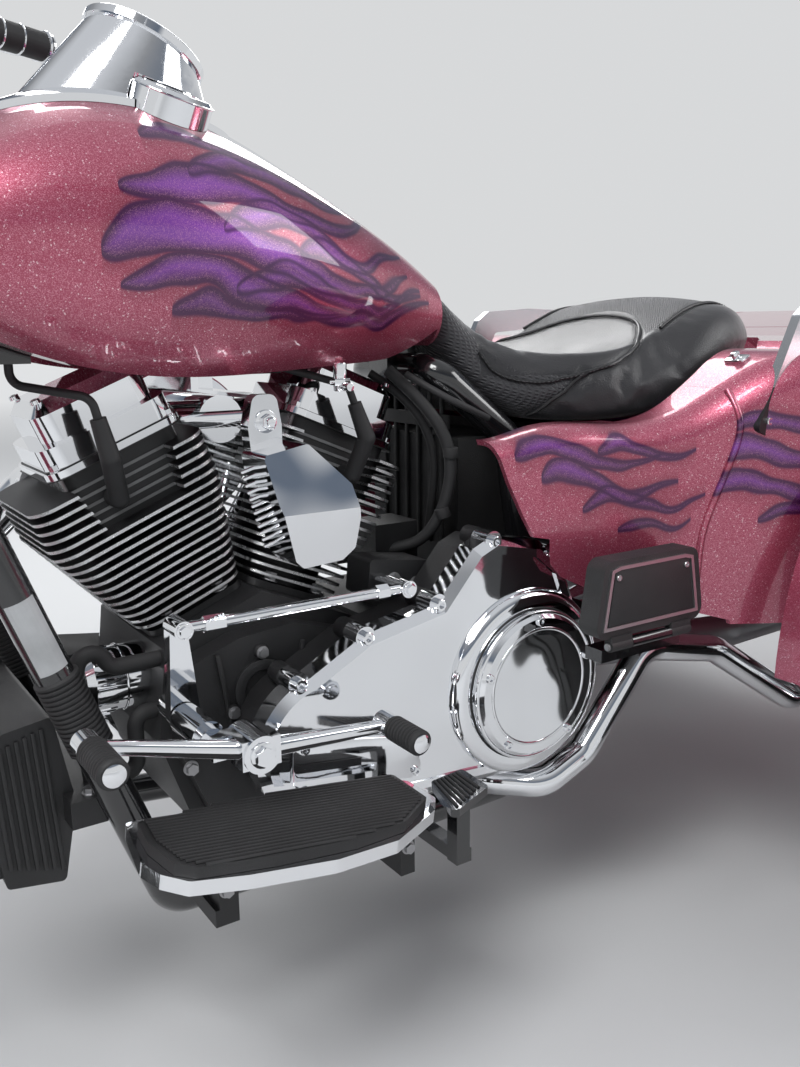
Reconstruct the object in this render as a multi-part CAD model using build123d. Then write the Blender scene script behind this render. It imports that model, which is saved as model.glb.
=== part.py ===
from build123d import *
import math
import os

# Motorized trike: a V-twin touring machine with one steered front wheel and two rear wheels.
# Millimetres. X forward, Y left, Z up. While modelling, x is counted from the rear axle.

# Driving dimensions of the whole machine
WHEELBASE = 1670.0
REAR_TRACK = 1180.0
TAIL_OVERHANG = 650.0
FRONT_TYRE_R = 319.0
FRONT_TYRE_W = 130.0
FRONT_RIM_R = 241.0
DISC_R = 146.0
REAR_TYRE_R = 324.0
REAR_TYRE_W = 205.0
REAR_RIM_R = 190.0
RUN_CLEAR = 0.5
TOUCH = 0.3

# Steering: the axis leans back by RAKE and meets the floor TRAIL ahead of the tyre's contact
RAKE = 26.0
TRAIL = 100.0
CLAMP_LOW = 770.0
CLAMP_HIGH = 960.0
CLAMP_T = 26.0
HEAD_R = 31.0
LEG_Y = 110.0
LEG_R = 24.5
SLIDER_R = 30.0
SLIDER_TOP = 650.0
PAD_S = 616.0
BAR_R = 12.7
GRIP_R = 18.0


# Brace at the steering head, which the tank, the bars and the lamps are counted from
HEAD_X = WHEELBASE - 340.0

# Left and right frame tubes
CRADLE_R = 17.5
CRADLE_BEND = 26.0
CRADLE_PATH = [
    (HEAD_X, 60.3, 722.0),
    (HEAD_X, 100.0, 722.0),
    (1153.0, 122.0, 552.0),
    (1071.0, 127.0, 330.0),
    (1012.0, 130.0, 172.0),
    (860.0, 118.0, 162.0),
    (560.0, 106.0, 162.0),
    (516.0, 106.0, 300.0),
    (560.0, 92.0, 592.0),
    (655.0, 78.0, 672.0),
    (655.0, 52.3, 672.0),
]

# Backbone tube under the tank
SPINE_FRONT = (HEAD_X + 40.0, 0.0, 765.0)
SPINE_REAR = (665.0, 0.0, 713.0)
SPINE_R = 26.0

# Ignition coils under the backbone
COIL_FRONT_Z = 690.0
COIL_HALF_W = 26.0
LEAD_R = 4.0
BOOT_R = 9.5
HOSE_R = 8.0

# Engine: crankshaft centre, V angle and the lengths along each cylinder's axis
CRANK_X = 888.0
CRANK_Z = 309.0
CYL_LEAN = 22.5
DECK = 137.0
BARREL_TOP = 258.0
HEAD_TOP = 322.0
ROCKER_TOP = 392.0
BARREL_R = 54.0
FIN_PITCH = 9.6
FIN_T = 3.0
FIN_FRONT = 104.0
FIN_INNER = 80.0
PUSHROD_R = 8.0
TAPPET_Z = 412.0

GEARBOX_TOP = 402.0

# Horn cover between the cylinders
HORN_IN_Y = 136.0
HORN_OUT_Y = 200.0
HORN_TILT_FORE = 14.0
HORN_TILT_AFT = 16.0

# Primary drive on the left: black housing, chrome cover and the round clutch cover at its rear
PRIMARY_IN_Y = 128.0
PRIMARY_SPLIT_Y = 172.0
PRIMARY_OUT_Y = 204.0
CLUTCH_X = 620.0
CLUTCH_Z = 335.0
CLUTCH_R = 81.0
CLUTCH_OUT_Y = 224.0
PRIMARY_REAR_R = 108.0
PRIMARY_FRONT_X = 870.0
PRIMARY_FRONT_Z = 318.0
PRIMARY_FRONT_R = 75.0

# Columns: x, z of the screws round the primary cover
PRIMARY_SCREWS = [(899, 389), (824, 421), (736, 440), (664, 497), (584, 474), (884, 247), (760, 240)]

# Tank's ends
TANK_FRONT_X = HEAD_X - 30.0
TANK_REAR_X = 645.0

# Filler cap on the left of the tank, and the round gauge on the console
CAP_TOP = (945.0, 80.0, 931.0)
CAP_AXIS = (-0.22, 0.33, 0.92)
CAP_R = 37.0
GAUGE_CENTRE = (944.0, 0.0, 980.0)
GAUGE_R = 57.0

# Body behind the seat: skirt, floor, bulkhead behind the seat and the deck with its lid
BODY_HALF_W = 345.0
BODY_WALL = 6.0
BODY_SKIRT_Z = 376.0
BODY_FLOOR_Z = 400.0
BULKHEAD_X = 100.0
LID_REAR_X = -560.0
LID_HALF_W = BODY_HALF_W - 60.0
LID_GAP = 2.5
FENDER_OUT_Y = 695.0
FENDER_OPEN_R = REAR_TYRE_R + 28.0
FENDER_R = FENDER_OPEN_R + 26.0
FENDER_CROWN_R = 62.0
FENDER_LOW_Z = REAR_TYRE_R + 6.0
FENDER_WALL = 5.0
LID_HINGE_X = -60.0
LID_HINGE_Z = 718.5
PLATE_T = 4.0
BODY_TAIL = TAIL_OVERHANG - PLATE_T
# Seam between the side panels and the body: x, z from the bottom up
SEAM = [(417.0, 388.0), (415.0, 490.0), (381.0, 591.0), (379.0, 650.0)]
PANEL_INNER_Y = 165.0
RAIL_Y = 285.0
RAIL_T = 12.0
LAMP_Z = REAR_TYRE_R + 236.0
MUFFLER_FRONT_X = 150.0
MUFFLER_Y = 245.0
MUFFLER_Z = REAR_TYRE_R - 88.0
BOARD_TILT = 8.0
BOARD_HINGE_Y = 296.0
BOARD_HINGE_Z = 393.0

AXLE_Y = REAR_TRACK / 2

COS_R = math.cos(math.radians(RAKE))
SIN_R = math.sin(math.radians(RAKE))
STEER_PLANE = Plane(
    origin=(WHEELBASE + TRAIL, 0, 0),
    x_dir=(COS_R, 0, SIN_R),
    z_dir=(-SIN_R, 0, COS_R),
)
FORK_OFFSET = FRONT_TYRE_R * SIN_R - TRAIL * COS_R
AXLE_S = TRAIL * SIN_R + FRONT_TYRE_R * COS_R


def cylinder(start, end, radius):
    """Round bar from one point to another."""
    line = Vector(*end) - Vector(*start)
    return Solid.make_cylinder(radius, line.length, Plane(origin=start, z_dir=line))


def cone(start, end, r_start, r_end):
    """Tapered round bar from one point to another."""
    line = Vector(*end) - Vector(*start)
    return Solid.make_cone(r_start, r_end, line.length, Plane(origin=start, z_dir=line))


def block(x0, x1, y0, y1, z0, z1):
    """Box between two corners."""
    return Solid.make_box(x1 - x0, y1 - y0, z1 - z0, Plane(origin=(x0, y0, z0)))


def side_prism(outline, y0, y1):
    """Outline in X and Z, made solid from y0 to y1."""
    plane = Plane(origin=(0, y1, 0), x_dir=(1, 0, 0), z_dir=(0, -1, 0))
    return extrude(plane * outline, amount=y1 - y0, dir=(0, -1, 0))


def plan_prism(outline, z0, z1):
    """Outline in X and Y, made solid from z0 to z1."""
    return extrude(Plane.XY.offset(z0) * outline, amount=z1 - z0, dir=(0, 0, 1))


def polygon(points, radius=0.0):
    """Closed outline with all corners rounded alike."""
    if radius:
        return make_face(FilletPolyline(*points, radius=radius, close=True))
    return make_face(Polyline(*points, close=True))


def pipe(points, radius, bend):
    """Round tube along straight runs joined by bends."""
    path = FilletPolyline(*points, radius=bend)
    start = path @ 0
    section = Plane(origin=start, z_dir=path % 0) * Circle(radius)
    return sweep(section, path=path)


def mirrored(shape):
    """The same piece on the other side of the machine."""
    return mirror(shape, about=Plane.XZ)


def pair(shape):
    """A piece and its twin on the other side."""
    return [shape, mirrored(shape)]


def ring(profile, x, z, y=0.0):
    """Profile of (radius, y) points turned about a cross axis through (x, z)."""
    plane = Plane(origin=(x, y, z), x_dir=(1, 0, 0), z_dir=(0, 0, 1))
    return revolve(plane * profile, axis=Axis((x, y, z), (0, 1, 0)))


pieces = {}


def keep(name, *shapes):
    """Note a finished piece, or like pieces that do not touch, under one name."""
    pieces[name] = shapes[0] if len(shapes) == 1 else Compound(children=list(shapes))


def build_wheel(x, radius, rim_r, width, y, spokes, hub_r, hub_half):
    """Tyre and cast wheel about a cross axis."""
    half = width / 2
    shoulder = radius - 0.18 * (radius - rim_r)
    tyre = polygon(
        [
            (rim_r + 2, -half * 0.62),
            (rim_r + 22, -half * 0.96),
            (shoulder, -half),
            (radius, -half * 0.62),
            (radius, half * 0.62),
            (shoulder, half),
            (rim_r + 22, half * 0.96),
            (rim_r + 2, half * 0.62),
        ],
        12,
    )
    tyre_solid = ring(tyre, x, radius, y)
    rim = polygon(
        [
            (rim_r - 24, -half * 0.3),
            (rim_r - 14, -half * 0.6),
            (rim_r + 1.7, -half * 0.7),
            (rim_r + 1.7, half * 0.7),
            (rim_r - 14, half * 0.6),
            (rim_r - 24, half * 0.3),
        ]
    )
    wheel = ring(rim, x, radius, y)
    wheel += cylinder((x, y - hub_half, radius), (x, y + hub_half, radius), hub_r)
    root = 0.1 * rim_r
    waist = 0.055 * rim_r
    spoke_outline = polygon(
        [
            (hub_r - 8, -root),
            (0.6 * rim_r, -waist),
            (rim_r - 16, -root),
            (rim_r - 16, root),
            (0.6 * rim_r, waist),
            (hub_r - 8, root),
        ]
    )
    spoke = side_prism(spoke_outline, -13, 13)
    for index in range(spokes):
        turned = spoke.rotate(Axis.Y, index * 360 / spokes)
        wheel += turned.moved(Location((x, y, radius)))
    return tyre_solid, wheel


def build_front_wheel():
    """Front tyre, cast wheel and the two brake discs."""
    tyre, wheel = build_wheel(WHEELBASE, FRONT_TYRE_R, FRONT_RIM_R, FRONT_TYRE_W, 0, 9, 36, 62)
    for side in (1, -1):
        disc = cylinder((WHEELBASE, 62 * side, FRONT_TYRE_R), (WHEELBASE, 67 * side, FRONT_TYRE_R), DISC_R)
        wheel += disc
    keep("front_tyre", tyre)
    keep("front_rim", wheel)


def build_rear_wheels():
    """Rear tyres and cast wheels."""
    for side, word in ((1, "left"), (-1, "right")):
        tyre, wheel = build_wheel(0, REAR_TYRE_R, REAR_RIM_R, REAR_TYRE_W, AXLE_Y, 7, 52, 60)
        if side < 0:
            tyre, wheel = mirrored(tyre), mirrored(wheel)
        keep("rear_tyre_" + word, tyre)
        keep("rear_rim_" + word, wheel)


def build_fork():
    """Fork legs, both clamps and the front axle."""
    legs = []
    for y in (LEG_Y, -LEG_Y):
        tube = cylinder((FORK_OFFSET, y, SLIDER_TOP - 60), (FORK_OFFSET, y, CLAMP_HIGH + CLAMP_T + 8), LEG_R)
        slider = cylinder((FORK_OFFSET, y, AXLE_S - 28), (FORK_OFFSET, y, SLIDER_TOP), SLIDER_R)
        lug = block(FORK_OFFSET - 26, FORK_OFFSET + 26, y - 20, y + 20, AXLE_S - 34, AXLE_S + 30)
        legs.append(tube + slider + lug)
    fork = legs[0] + legs[1]
    for low in (CLAMP_LOW, CLAMP_HIGH):
        outline = polygon(
            [
                (-38, -42),
                (FORK_OFFSET - 20, -LEG_Y - 34),
                (FORK_OFFSET + 36, -LEG_Y - 30),
                (FORK_OFFSET + 40, 0),
                (FORK_OFFSET + 36, LEG_Y + 30),
                (FORK_OFFSET - 20, LEG_Y + 34),
                (-38, 42),
            ],
            14,
        )
        fork += plan_prism(outline, low, low + CLAMP_T)
    fork += cylinder((FORK_OFFSET, 67.5, AXLE_S), (FORK_OFFSET, LEG_Y, AXLE_S), 14)
    fork += cylinder((FORK_OFFSET, -67.5, AXLE_S), (FORK_OFFSET, -LEG_Y, AXLE_S), 14)
    keep("fork", STEER_PLANE.location * fork)
    calipers = []
    for side in (1, -1):
        inner, outer = sorted((55 * side, 92 * side))
        body = block(FORK_OFFSET - 104, FORK_OFFSET - 16, inner, outer, AXLE_S + 62, AXLE_S + 146)
        slot = sorted((61 * side, 68.5 * side))
        disc_slot = Solid.make_cylinder(
            DISC_R + 3, slot[1] - slot[0], Plane(origin=(FORK_OFFSET, slot[0], AXLE_S), z_dir=(0, 1, 0))
        )
        leg_y = LEG_Y * side
        leg = cylinder((FORK_OFFSET, leg_y, 0), (FORK_OFFSET, leg_y, SLIDER_TOP), SLIDER_R + TOUCH)
        calipers.append(STEER_PLANE.location * (body - disc_slot - leg))
    keep("calipers", *calipers)


def build_front_fender():
    """Deep crowned front mudguard."""
    inner = FRONT_TYRE_R + 16
    half = FRONT_TYRE_W / 2 + 10
    section = polygon(
        [
            (inner - 70, -half),
            (inner - 70, -half + 3),
            (inner - 10, -half + 3),
            (inner + 6, -half + 22),
            (inner + 10, 0),
            (inner + 6, half - 22),
            (inner - 10, half - 3),
            (inner - 70, half - 3),
            (inner - 70, half),
            (inner - 8, half),
            (inner + 10, half - 22),
            (inner + 14, 0),
            (inner + 10, -half + 22),
            (inner - 8, -half),
        ]
    )
    plane = Plane(origin=(WHEELBASE, 0, FRONT_TYRE_R), x_dir=(1, 0, 0), z_dir=(0, 0, 1))
    turned = (plane * section).rotate(Axis((WHEELBASE, 0, FRONT_TYRE_R), (0, 1, 0)), -22)
    arch = revolve(turned, axis=Axis((WHEELBASE, 0, FRONT_TYRE_R), (0, -1, 0)), revolution_arc=175)
    for side in (1, -1):
        start, end = half - 2, LEG_Y - SLIDER_R - TOUCH
        pad = cylinder((FORK_OFFSET, side * start, PAD_S), (FORK_OFFSET, side * end, PAD_S), 13)
        arch += STEER_PLANE.location * pad
    keep("front_fender", arch)


def build_bars():
    """Handlebar, grips, controls, mirrors, nacelle and lamps."""
    foot = STEER_PLANE.from_local_coords((16, 60, CLAMP_HIGH + CLAMP_T + TOUCH))
    top = STEER_PLANE.from_local_coords((16, 60, CLAMP_HIGH + CLAMP_T + 52))
    middle = (foot + top) * 0.5
    bar_points = [
        tuple(foot),
        tuple(top),
        (HEAD_X - 18, 120, 985),
        (HEAD_X - 40, 250, 1075),
        (HEAD_X - 130, 340, 1100),
        (HEAD_X - 285, 385, 1090),
    ]
    bar_left = pipe(bar_points, BAR_R, 28)
    cross = cylinder((middle.X, -60, middle.Z), (middle.X, 60, middle.Z), BAR_R - 3)
    keep("handlebar", bar_left + mirrored(bar_left) + cross)
    grip = cylinder((HEAD_X - 285 - TOUCH, 385, 1090), (HEAD_X - 415, 424, 1080), GRIP_R)
    keep("grips", *pair(grip))


def build_backbone():
    """Frame: steering head, backbone and the two cradles."""
    head = STEER_PLANE.location * cylinder(
        (0, 0, CLAMP_LOW + CLAMP_T + RUN_CLEAR), (0, 0, CLAMP_HIGH - RUN_CLEAR), HEAD_R
    )
    spine = cylinder(SPINE_FRONT, SPINE_REAR, SPINE_R)
    neck = cylinder((HEAD_X, -60, 722), (HEAD_X, 60, 722), 22)
    neck += block(HEAD_X - 20, HEAD_X + 80, -24, 24, 716, 770)
    rear = cylinder((655, -52, 672), (655, 52, 672), 18) + block(640, 680, -20, 20, 655, 705)
    coils = block(1086, 1146, -60, 60, COIL_FRONT_Z, 712) + block(1104, 1128, -12, 12, 705, 745)
    coils += block(820, 872, -COIL_HALF_W, COIL_HALF_W, 672, 700) + block(834, 858, -12, 12, 690, 728)
    keep("frame_backbone", head + spine + neck + rear + coils)


FRONT_AXIS = (math.sin(math.radians(CYL_LEAN)), math.cos(math.radians(CYL_LEAN)))


def cylinder_plane(lean):
    """Plane at the crankshaft whose Z runs up a cylinder; lean is 1 for the front, -1 for the rear."""
    across, along = FRONT_AXIS
    up = (lean * across, 0, along)
    return Plane(origin=(CRANK_X, 0, CRANK_Z), x_dir=(along, 0, -lean * across), z_dir=up)


def fin_plate(low, fore, aft, side, corner):
    """One cooling fin: a plate with round corners."""
    outline = polygon([(fore, side), (-aft, side), (-aft, -side), (fore, -side)], corner)
    return plan_prism(outline, low, low + FIN_T)


def build_cylinder(lean, word):
    """Finned barrel and head with its plug recess, and its chrome rocker box."""
    outer_top = FIN_FRONT if lean > 0 else FIN_INNER
    foot = Plane(origin=(0, 0, DECK + RUN_CLEAR))
    barrel = Solid.make_cylinder(BARREL_R, HEAD_TOP - DECK - RUN_CLEAR, foot)
    flange = plan_prism(polygon([(54, 66), (-54, 66), (-54, -66), (54, -66)], 14), DECK + RUN_CLEAR, DECK + 8)
    head_core = plan_prism(polygon([(62, 58), (-62, 58), (-62, -58), (62, -58)], 14), BARREL_TOP, HEAD_TOP)
    body = barrel + flange + head_core
    count = int((HEAD_TOP - DECK - 14) / FIN_PITCH)
    for index in range(count):
        low = DECK + 14 + index * FIN_PITCH
        share = min(1.0, (low - DECK) / (BARREL_TOP - DECK))
        outer = 56 + (outer_top - 56) * share
        inner = 56 + (FIN_INNER - 56) * share
        side = 68 + 16 * share
        fore, aft = (outer, inner) if lean > 0 else (inner, outer)
        body += fin_plate(low, fore, aft, side, 24)
    recess = polygon([(48, 0), (62, 60), (-44, 60), (-34, 0)])
    pocket = Plane(origin=(0, 59, BARREL_TOP + 4), x_dir=(1, 0, 0), z_dir=(0, -1, 0))
    body -= extrude(pocket * recess, amount=60, dir=(0, 1, 0))
    place = cylinder_plane(lean).location
    body = place * body
    for start, end in pushrod_lines(lean):
        body -= cylinder(start, end, PUSHROD_R + RUN_CLEAR)
    keep("cylinder_" + word, body.solids().sort_by(SortBy.VOLUME)[-1])
    lower = plan_prism(
        polygon([(72, 64), (-72, 64), (-72, -64), (72, -64)], 20), HEAD_TOP + TOUCH, HEAD_TOP + 8
    )
    middle = plan_prism(
        polygon([(68, 60), (-68, 60), (-68, -60), (68, -60)], 20), HEAD_TOP + 8, HEAD_TOP + 30
    )
    upper = plan_prism(
        polygon([(58, 52), (-58, 52), (-58, -52), (58, -52)], 18), HEAD_TOP + 30, ROCKER_TOP
    )
    upper = chamfer(upper.faces().sort_by(Axis.Z)[-1].edges(), 12)
    return place * (lower + middle + upper)


def pushrod_lines(lean):
    """Ends of the two pushrod tubes of a cylinder, from the tappet block to the head."""
    plane = cylinder_plane(lean)
    lines = []
    for foot, top in ((24, -22), (56, 20)):
        start = Vector(CRANK_X + lean * foot, -118, TAPPET_Z + 5)
        end = plane.from_local_coords((lean * top, -50, HEAD_TOP - 5))
        lines.append((tuple(start), tuple(end)))
    return lines


def build_pushrods():
    """Chrome tubes over the pushrods on the right."""
    tubes = []
    for lean in (1, -1):
        for start, end in pushrod_lines(lean):
            tubes.append(cylinder(start, end, PUSHROD_R))
    keep("pushrod_tubes", *tubes)


def build_engine():
    """Crankcase, gearbox, starter, oil filter and the timing cover on the right."""
    across, along = FRONT_AXIS
    reach = 57.0
    top_out = (across * DECK + along * reach, along * DECK - across * reach)
    outline = polygon(
        [
            (CRANK_X + top_out[0], CRANK_Z + top_out[1]),
            (CRANK_X + 116, CRANK_Z + 10),
            (CRANK_X + 84, CRANK_Z - 84),
            (CRANK_X, CRANK_Z - 118),
            (CRANK_X - 84, CRANK_Z - 84),
            (CRANK_X - 116, CRANK_Z + 10),
            (CRANK_X - top_out[0], CRANK_Z + top_out[1]),
            (CRANK_X, CRANK_Z + along * DECK + (across * DECK) * across / along),
        ]
    )
    case = side_prism(outline, -100, 100)
    shoulder = polygon(
        [
            (CRANK_X + 96, CRANK_Z + 92),
            (CRANK_X + 104, CRANK_Z + 6),
            (CRANK_X + 72, CRANK_Z - 72),
            (CRANK_X, CRANK_Z - 104),
            (CRANK_X - 72, CRANK_Z - 72),
            (CRANK_X - 104, CRANK_Z + 6),
            (CRANK_X - 90, CRANK_Z + 96),
            (CRANK_X - 20, CRANK_Z + 118),
            (CRANK_X + 40, CRANK_Z + 112),
        ],
        16,
    )
    case += side_prism(shoulder, 100, PRIMARY_IN_Y)
    keep("engine_cases", case)
    cam = side_prism(
        polygon(
            [
                (CRANK_X + 96, CRANK_Z + 70),
                (CRANK_X + 96, CRANK_Z - 60),
                (CRANK_X + 30, CRANK_Z - 104),
                (CRANK_X - 60, CRANK_Z - 90),
                (CRANK_X - 100, CRANK_Z + 10),
                (CRANK_X - 60, CRANK_Z + 84),
            ],
            22,
        ),
        -150,
        -100 - TOUCH,
    )
    cam += cylinder((CRANK_X + 10, -150, CRANK_Z + 8), (CRANK_X + 10, -160, CRANK_Z + 8), 52)
    for lean in (1, -1):
        low, high = sorted((CRANK_X + lean * 8, CRANK_X + lean * 74))
        cam += block(low, high, -134, -100 - TOUCH, 372, TAPPET_Z)
    keep("timing_cover", cam)
    gearbox = polygon(
        [
            (CRANK_X - 116 - TOUCH, 226),
            (CRANK_X - 116 - TOUCH, 300),
            (752, GEARBOX_TOP),
            (576, GEARBOX_TOP),
            (562, 350),
            (562, 226),
        ]
    )
    relay = block(664, 722, 0, 56, GEARBOX_TOP - 5, 498)
    keep("gearbox", side_prism(gearbox, -100, PRIMARY_IN_Y) + relay)
    starter = side_prism(polygon([(777, 436), (773, 479), (696, 468), (699, 423)], 5), 80, 126)
    starter += block(705, 740, 84, 120, GEARBOX_TOP + TOUCH, 430)
    keep("starter", starter)
    filter_body = cylinder((985, 34, 374), (1058, 34, 374), 33)
    filter_body = chamfer(filter_body.faces().sort_by(Axis.X)[-1].edges(), 7)
    filter_body = filter_body - case.moved(Location((TOUCH, 0, 0))) - case
    keep("oil_filter", filter_body.solids().sort_by(Axis.X)[-1])


def primary_outline(inset):
    """Outline of the primary drive seen from the left, its edge moved in by inset."""
    front = Pos(PRIMARY_FRONT_X, PRIMARY_FRONT_Z) * Circle(PRIMARY_FRONT_R)
    rear = Pos(CLUTCH_X, CLUTCH_Z) * Circle(PRIMARY_REAR_R)
    link = polygon(
        [
            (PRIMARY_FRONT_X + 22, PRIMARY_FRONT_Z + 70),
            (825, 423),
            (736, 440),
            (690, 492),
            (664, 503),
            (600, 490),
            (566, 462),
            (545, 410),
            (580, CLUTCH_Z - 100),
            (CLUTCH_X + 10, CLUTCH_Z - PRIMARY_REAR_R + 0.5),
            (PRIMARY_FRONT_X - 10, PRIMARY_FRONT_Z - PRIMARY_FRONT_R + 1),
        ]
    )
    shape = front + rear + link
    return offset(shape, -inset) if inset else shape


def build_primary():
    """Black primary housing, its chrome cover and the round clutch cover."""
    housing = side_prism(primary_outline(6), PRIMARY_IN_Y + TOUCH, PRIMARY_SPLIT_Y)
    for x, z in PRIMARY_SCREWS:
        housing += cylinder((x, PRIMARY_SPLIT_Y - 20, z), (x, PRIMARY_SPLIT_Y, z), 11)
    keep("primary_housing", housing)
    shape = side_prism(primary_outline(0), PRIMARY_SPLIT_Y + TOUCH, PRIMARY_OUT_Y)
    outer = shape.faces().sort_by(Axis.Y)[-1]
    shape = chamfer(outer.edges(), 9)
    for x, z in PRIMARY_SCREWS:
        shape += cylinder((x, PRIMARY_SPLIT_Y + TOUCH, z), (x, PRIMARY_OUT_Y - 7, z), 11)
    sunk = side_prism(primary_outline(18), PRIMARY_OUT_Y - 3, PRIMARY_OUT_Y + 1)
    sunk -= cylinder((CLUTCH_X, 190, CLUTCH_Z), (CLUTCH_X, 210, CLUTCH_Z), CLUTCH_R + 22)
    shape -= sunk.solids().sort_by(SortBy.VOLUME)[-1]
    dome_foot = (CLUTCH_X, PRIMARY_OUT_Y - 6, CLUTCH_Z)
    dome = cylinder(dome_foot, (CLUTCH_X, PRIMARY_OUT_Y + 8, CLUTCH_Z), CLUTCH_R + 24)
    dome = fillet(dome.faces().sort_by(Axis.Y)[-1].edges(), 12)
    shape += dome
    keep("primary_cover", shape)
    cover = cylinder(
        (CLUTCH_X, PRIMARY_OUT_Y + 8 + TOUCH, CLUTCH_Z), (CLUTCH_X, CLUTCH_OUT_Y, CLUTCH_Z), CLUTCH_R
    )
    cover = chamfer(cover.faces().sort_by(Axis.Y)[-1].edges(), 5)
    keep("clutch_cover", cover)


def tank_section(x, half, low, high, belly):
    """Section of the tank across the machine: flat underside, bulged sides and a crowned top."""
    plane = Plane(origin=(x, 0, 0), x_dir=(0, 1, 0), z_dir=(1, 0, 0))
    shoulder = low + 0.84 * (high - low)
    foot = 0.72 * half
    crown = 0.72 * half
    edges = [
        Line((-foot, low), (foot, low)),
        ThreePointArc((foot, low), (half, belly), (crown, shoulder)),
        ThreePointArc((crown, shoulder), (0, high), (-crown, shoulder)),
        ThreePointArc((-crown, shoulder), (-half, belly), (-foot, low)),
    ]
    return plane * make_face(edges)


def build_tank():
    """Fuel tank over the backbone, its chrome console with the round gauge, and the filler cap."""
    # Columns: share of the length from the rear, half width, underside, top, height of the widest point
    table = [
        (1.0, 72, 786, 824, 806),
        (0.8, 146, 733, 862, 804),
        (0.6, 168, 684, 928, 800),
        (0.4, 161, 676, 914, 791),
        (0.2, 129, 682, 858, 768),
        (0.0, 80, 700, 780, 738),
    ]
    length = TANK_FRONT_X - TANK_REAR_X
    tank = loft([tank_section(TANK_REAR_X + share * length, *row) for share, *row in table])
    slope = (SPINE_FRONT[2] - SPINE_REAR[2]) / (SPINE_FRONT[0] - SPINE_REAR[0])
    rise = SPINE_R * math.hypot(1, slope) + TOUCH
    roof = [(x, SPINE_REAR[2] + rise + slope * (x - SPINE_REAR[0])) for x in (600, 1330)]
    tunnel = side_prism(polygon([(600, 640), *roof, (1330, 640)]), -SPINE_R - 4, SPINE_R + 4)
    rockers = block(650, 1180, -78, 78, 640, 716)
    whole = tank
    tank = tank - tunnel - rockers
    keep("fuel_tank", tank)
    cap_plane = Plane(origin=CAP_TOP, z_dir=CAP_AXIS)
    cap = Solid.make_cylinder(CAP_R, 50, cap_plane.offset(-50))
    cap = chamfer(cap.faces().sort_by(Axis.Z)[-1].edges(), 4) - whole.moved(Location((0, 0, TOUCH)))
    cap = cap.solids().sort_by(Axis.Z)[-1]
    keep("filler_cap", cap)
    rim_plane = Plane(origin=GAUGE_CENTRE, x_dir=(0.892, 0, 0.452), z_dir=(-0.452, 0, 0.892))
    base_plane = Plane(origin=(990, 0, 880))
    housing = loft([base_plane * Ellipse(120, 76), rim_plane * Circle(GAUGE_R)], ruled=True)
    housing += Solid.make_cylinder(GAUGE_R + 3, 7, rim_plane)
    housing -= Solid.make_cylinder(GAUGE_R - 4, 5, rim_plane.offset(3))
    plan = Pos(992, 0) * Ellipse(130, 86) + polygon([(960, -40), (960, 40), (720, 20), (720, -20)])
    flange = whole.moved(Location((0, 0, 7))) & plan_prism(plan, 800, 1000)
    console = housing + flange - whole.moved(Location((0, 0, TOUCH)))
    console = console - Solid.make_cylinder(CAP_R + 1, 52, cap_plane.offset(-50))
    keep("dash_console", console.solids().sort_by(SortBy.VOLUME)[-1])


def seat_section(x, half, low, high, dish):
    """Section of the seat: flat base, rounded sides and a top that dips by dish."""
    plane = Plane(origin=(x, 0, 0), x_dir=(0, 1, 0), z_dir=(1, 0, 0))
    mid = low + 0.5 * (high - low)
    edge = 0.72 * half
    edges = [
        Line((-edge, low), (edge, low)),
        ThreePointArc((edge, low), (half, mid), (edge, high)),
        ThreePointArc((edge, high), (0, high - dish), (-edge, high)),
        ThreePointArc((-edge, high), (-half, mid), (-edge, low)),
    ]
    return plane * make_face(edges)


def build_seat():
    """Two-up seat: narrow nose, rider bucket and pillion pad."""
    # Columns: x, half width, underside, top, dish
    table = [
        (640, 56, 702, 776, -4),
        (600, 90, 644, 732, -2),
        (545, 130, 608, 692, 6),
        (450, 176, 603, 684, 14),
        (360, 188, 614, 706, 8),
        (285, 184, 634, 738, -4),
        (215, 162, 654, 745, -8),
        (160, 122, 676, 728, -8),
        (122, 84, 692, 708, -6),
    ]
    seat = loft([seat_section(*row) for row in table])
    seat = seat - pieces["fuel_tank"].moved(Location((-2, 0, 0)))
    rail = pipe(CRADLE_PATH, CRADLE_R + 1, CRADLE_BEND)
    backbone = cylinder((655, -60, 672), (655, 60, 672), 19) + block(630, 690, -22, 22, 640, 706)
    seat = seat - rail - mirrored(rail) - backbone
    keep("seat", seat.solids().sort_by(SortBy.VOLUME)[-1])


def hull_section(x, half, low, top, round_top, inset):
    """Section of the body across the machine, its edge moved in by inset."""
    plane = Plane(origin=(x, 0, 0), x_dir=(0, 1, 0), z_dir=(1, 0, 0))
    side, foot, roof = half - inset, low + inset, top - inset
    turn = max(round_top - inset, 8)
    bend = 0.293 * turn
    shoulder = roof - turn
    middle = 0.5 * (foot + shoulder)
    edges = [
        Line((6 - side, foot), (side - 6, foot)),
        ThreePointArc((side - 6, foot), (side, middle), (side - 4, shoulder)),
        ThreePointArc((side - 4, shoulder), (side - 4 - bend, roof - bend), (side - 4 - turn, roof)),
        Line((side - 4 - turn, roof), (turn + 4 - side, roof)),
        ThreePointArc((turn + 4 - side, roof), (bend + 4 - side, roof - bend), (4 - side, shoulder)),
        ThreePointArc((4 - side, shoulder), (-side, middle), (6 - side, foot)),
    ]
    return plane * make_face(edges)


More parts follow.
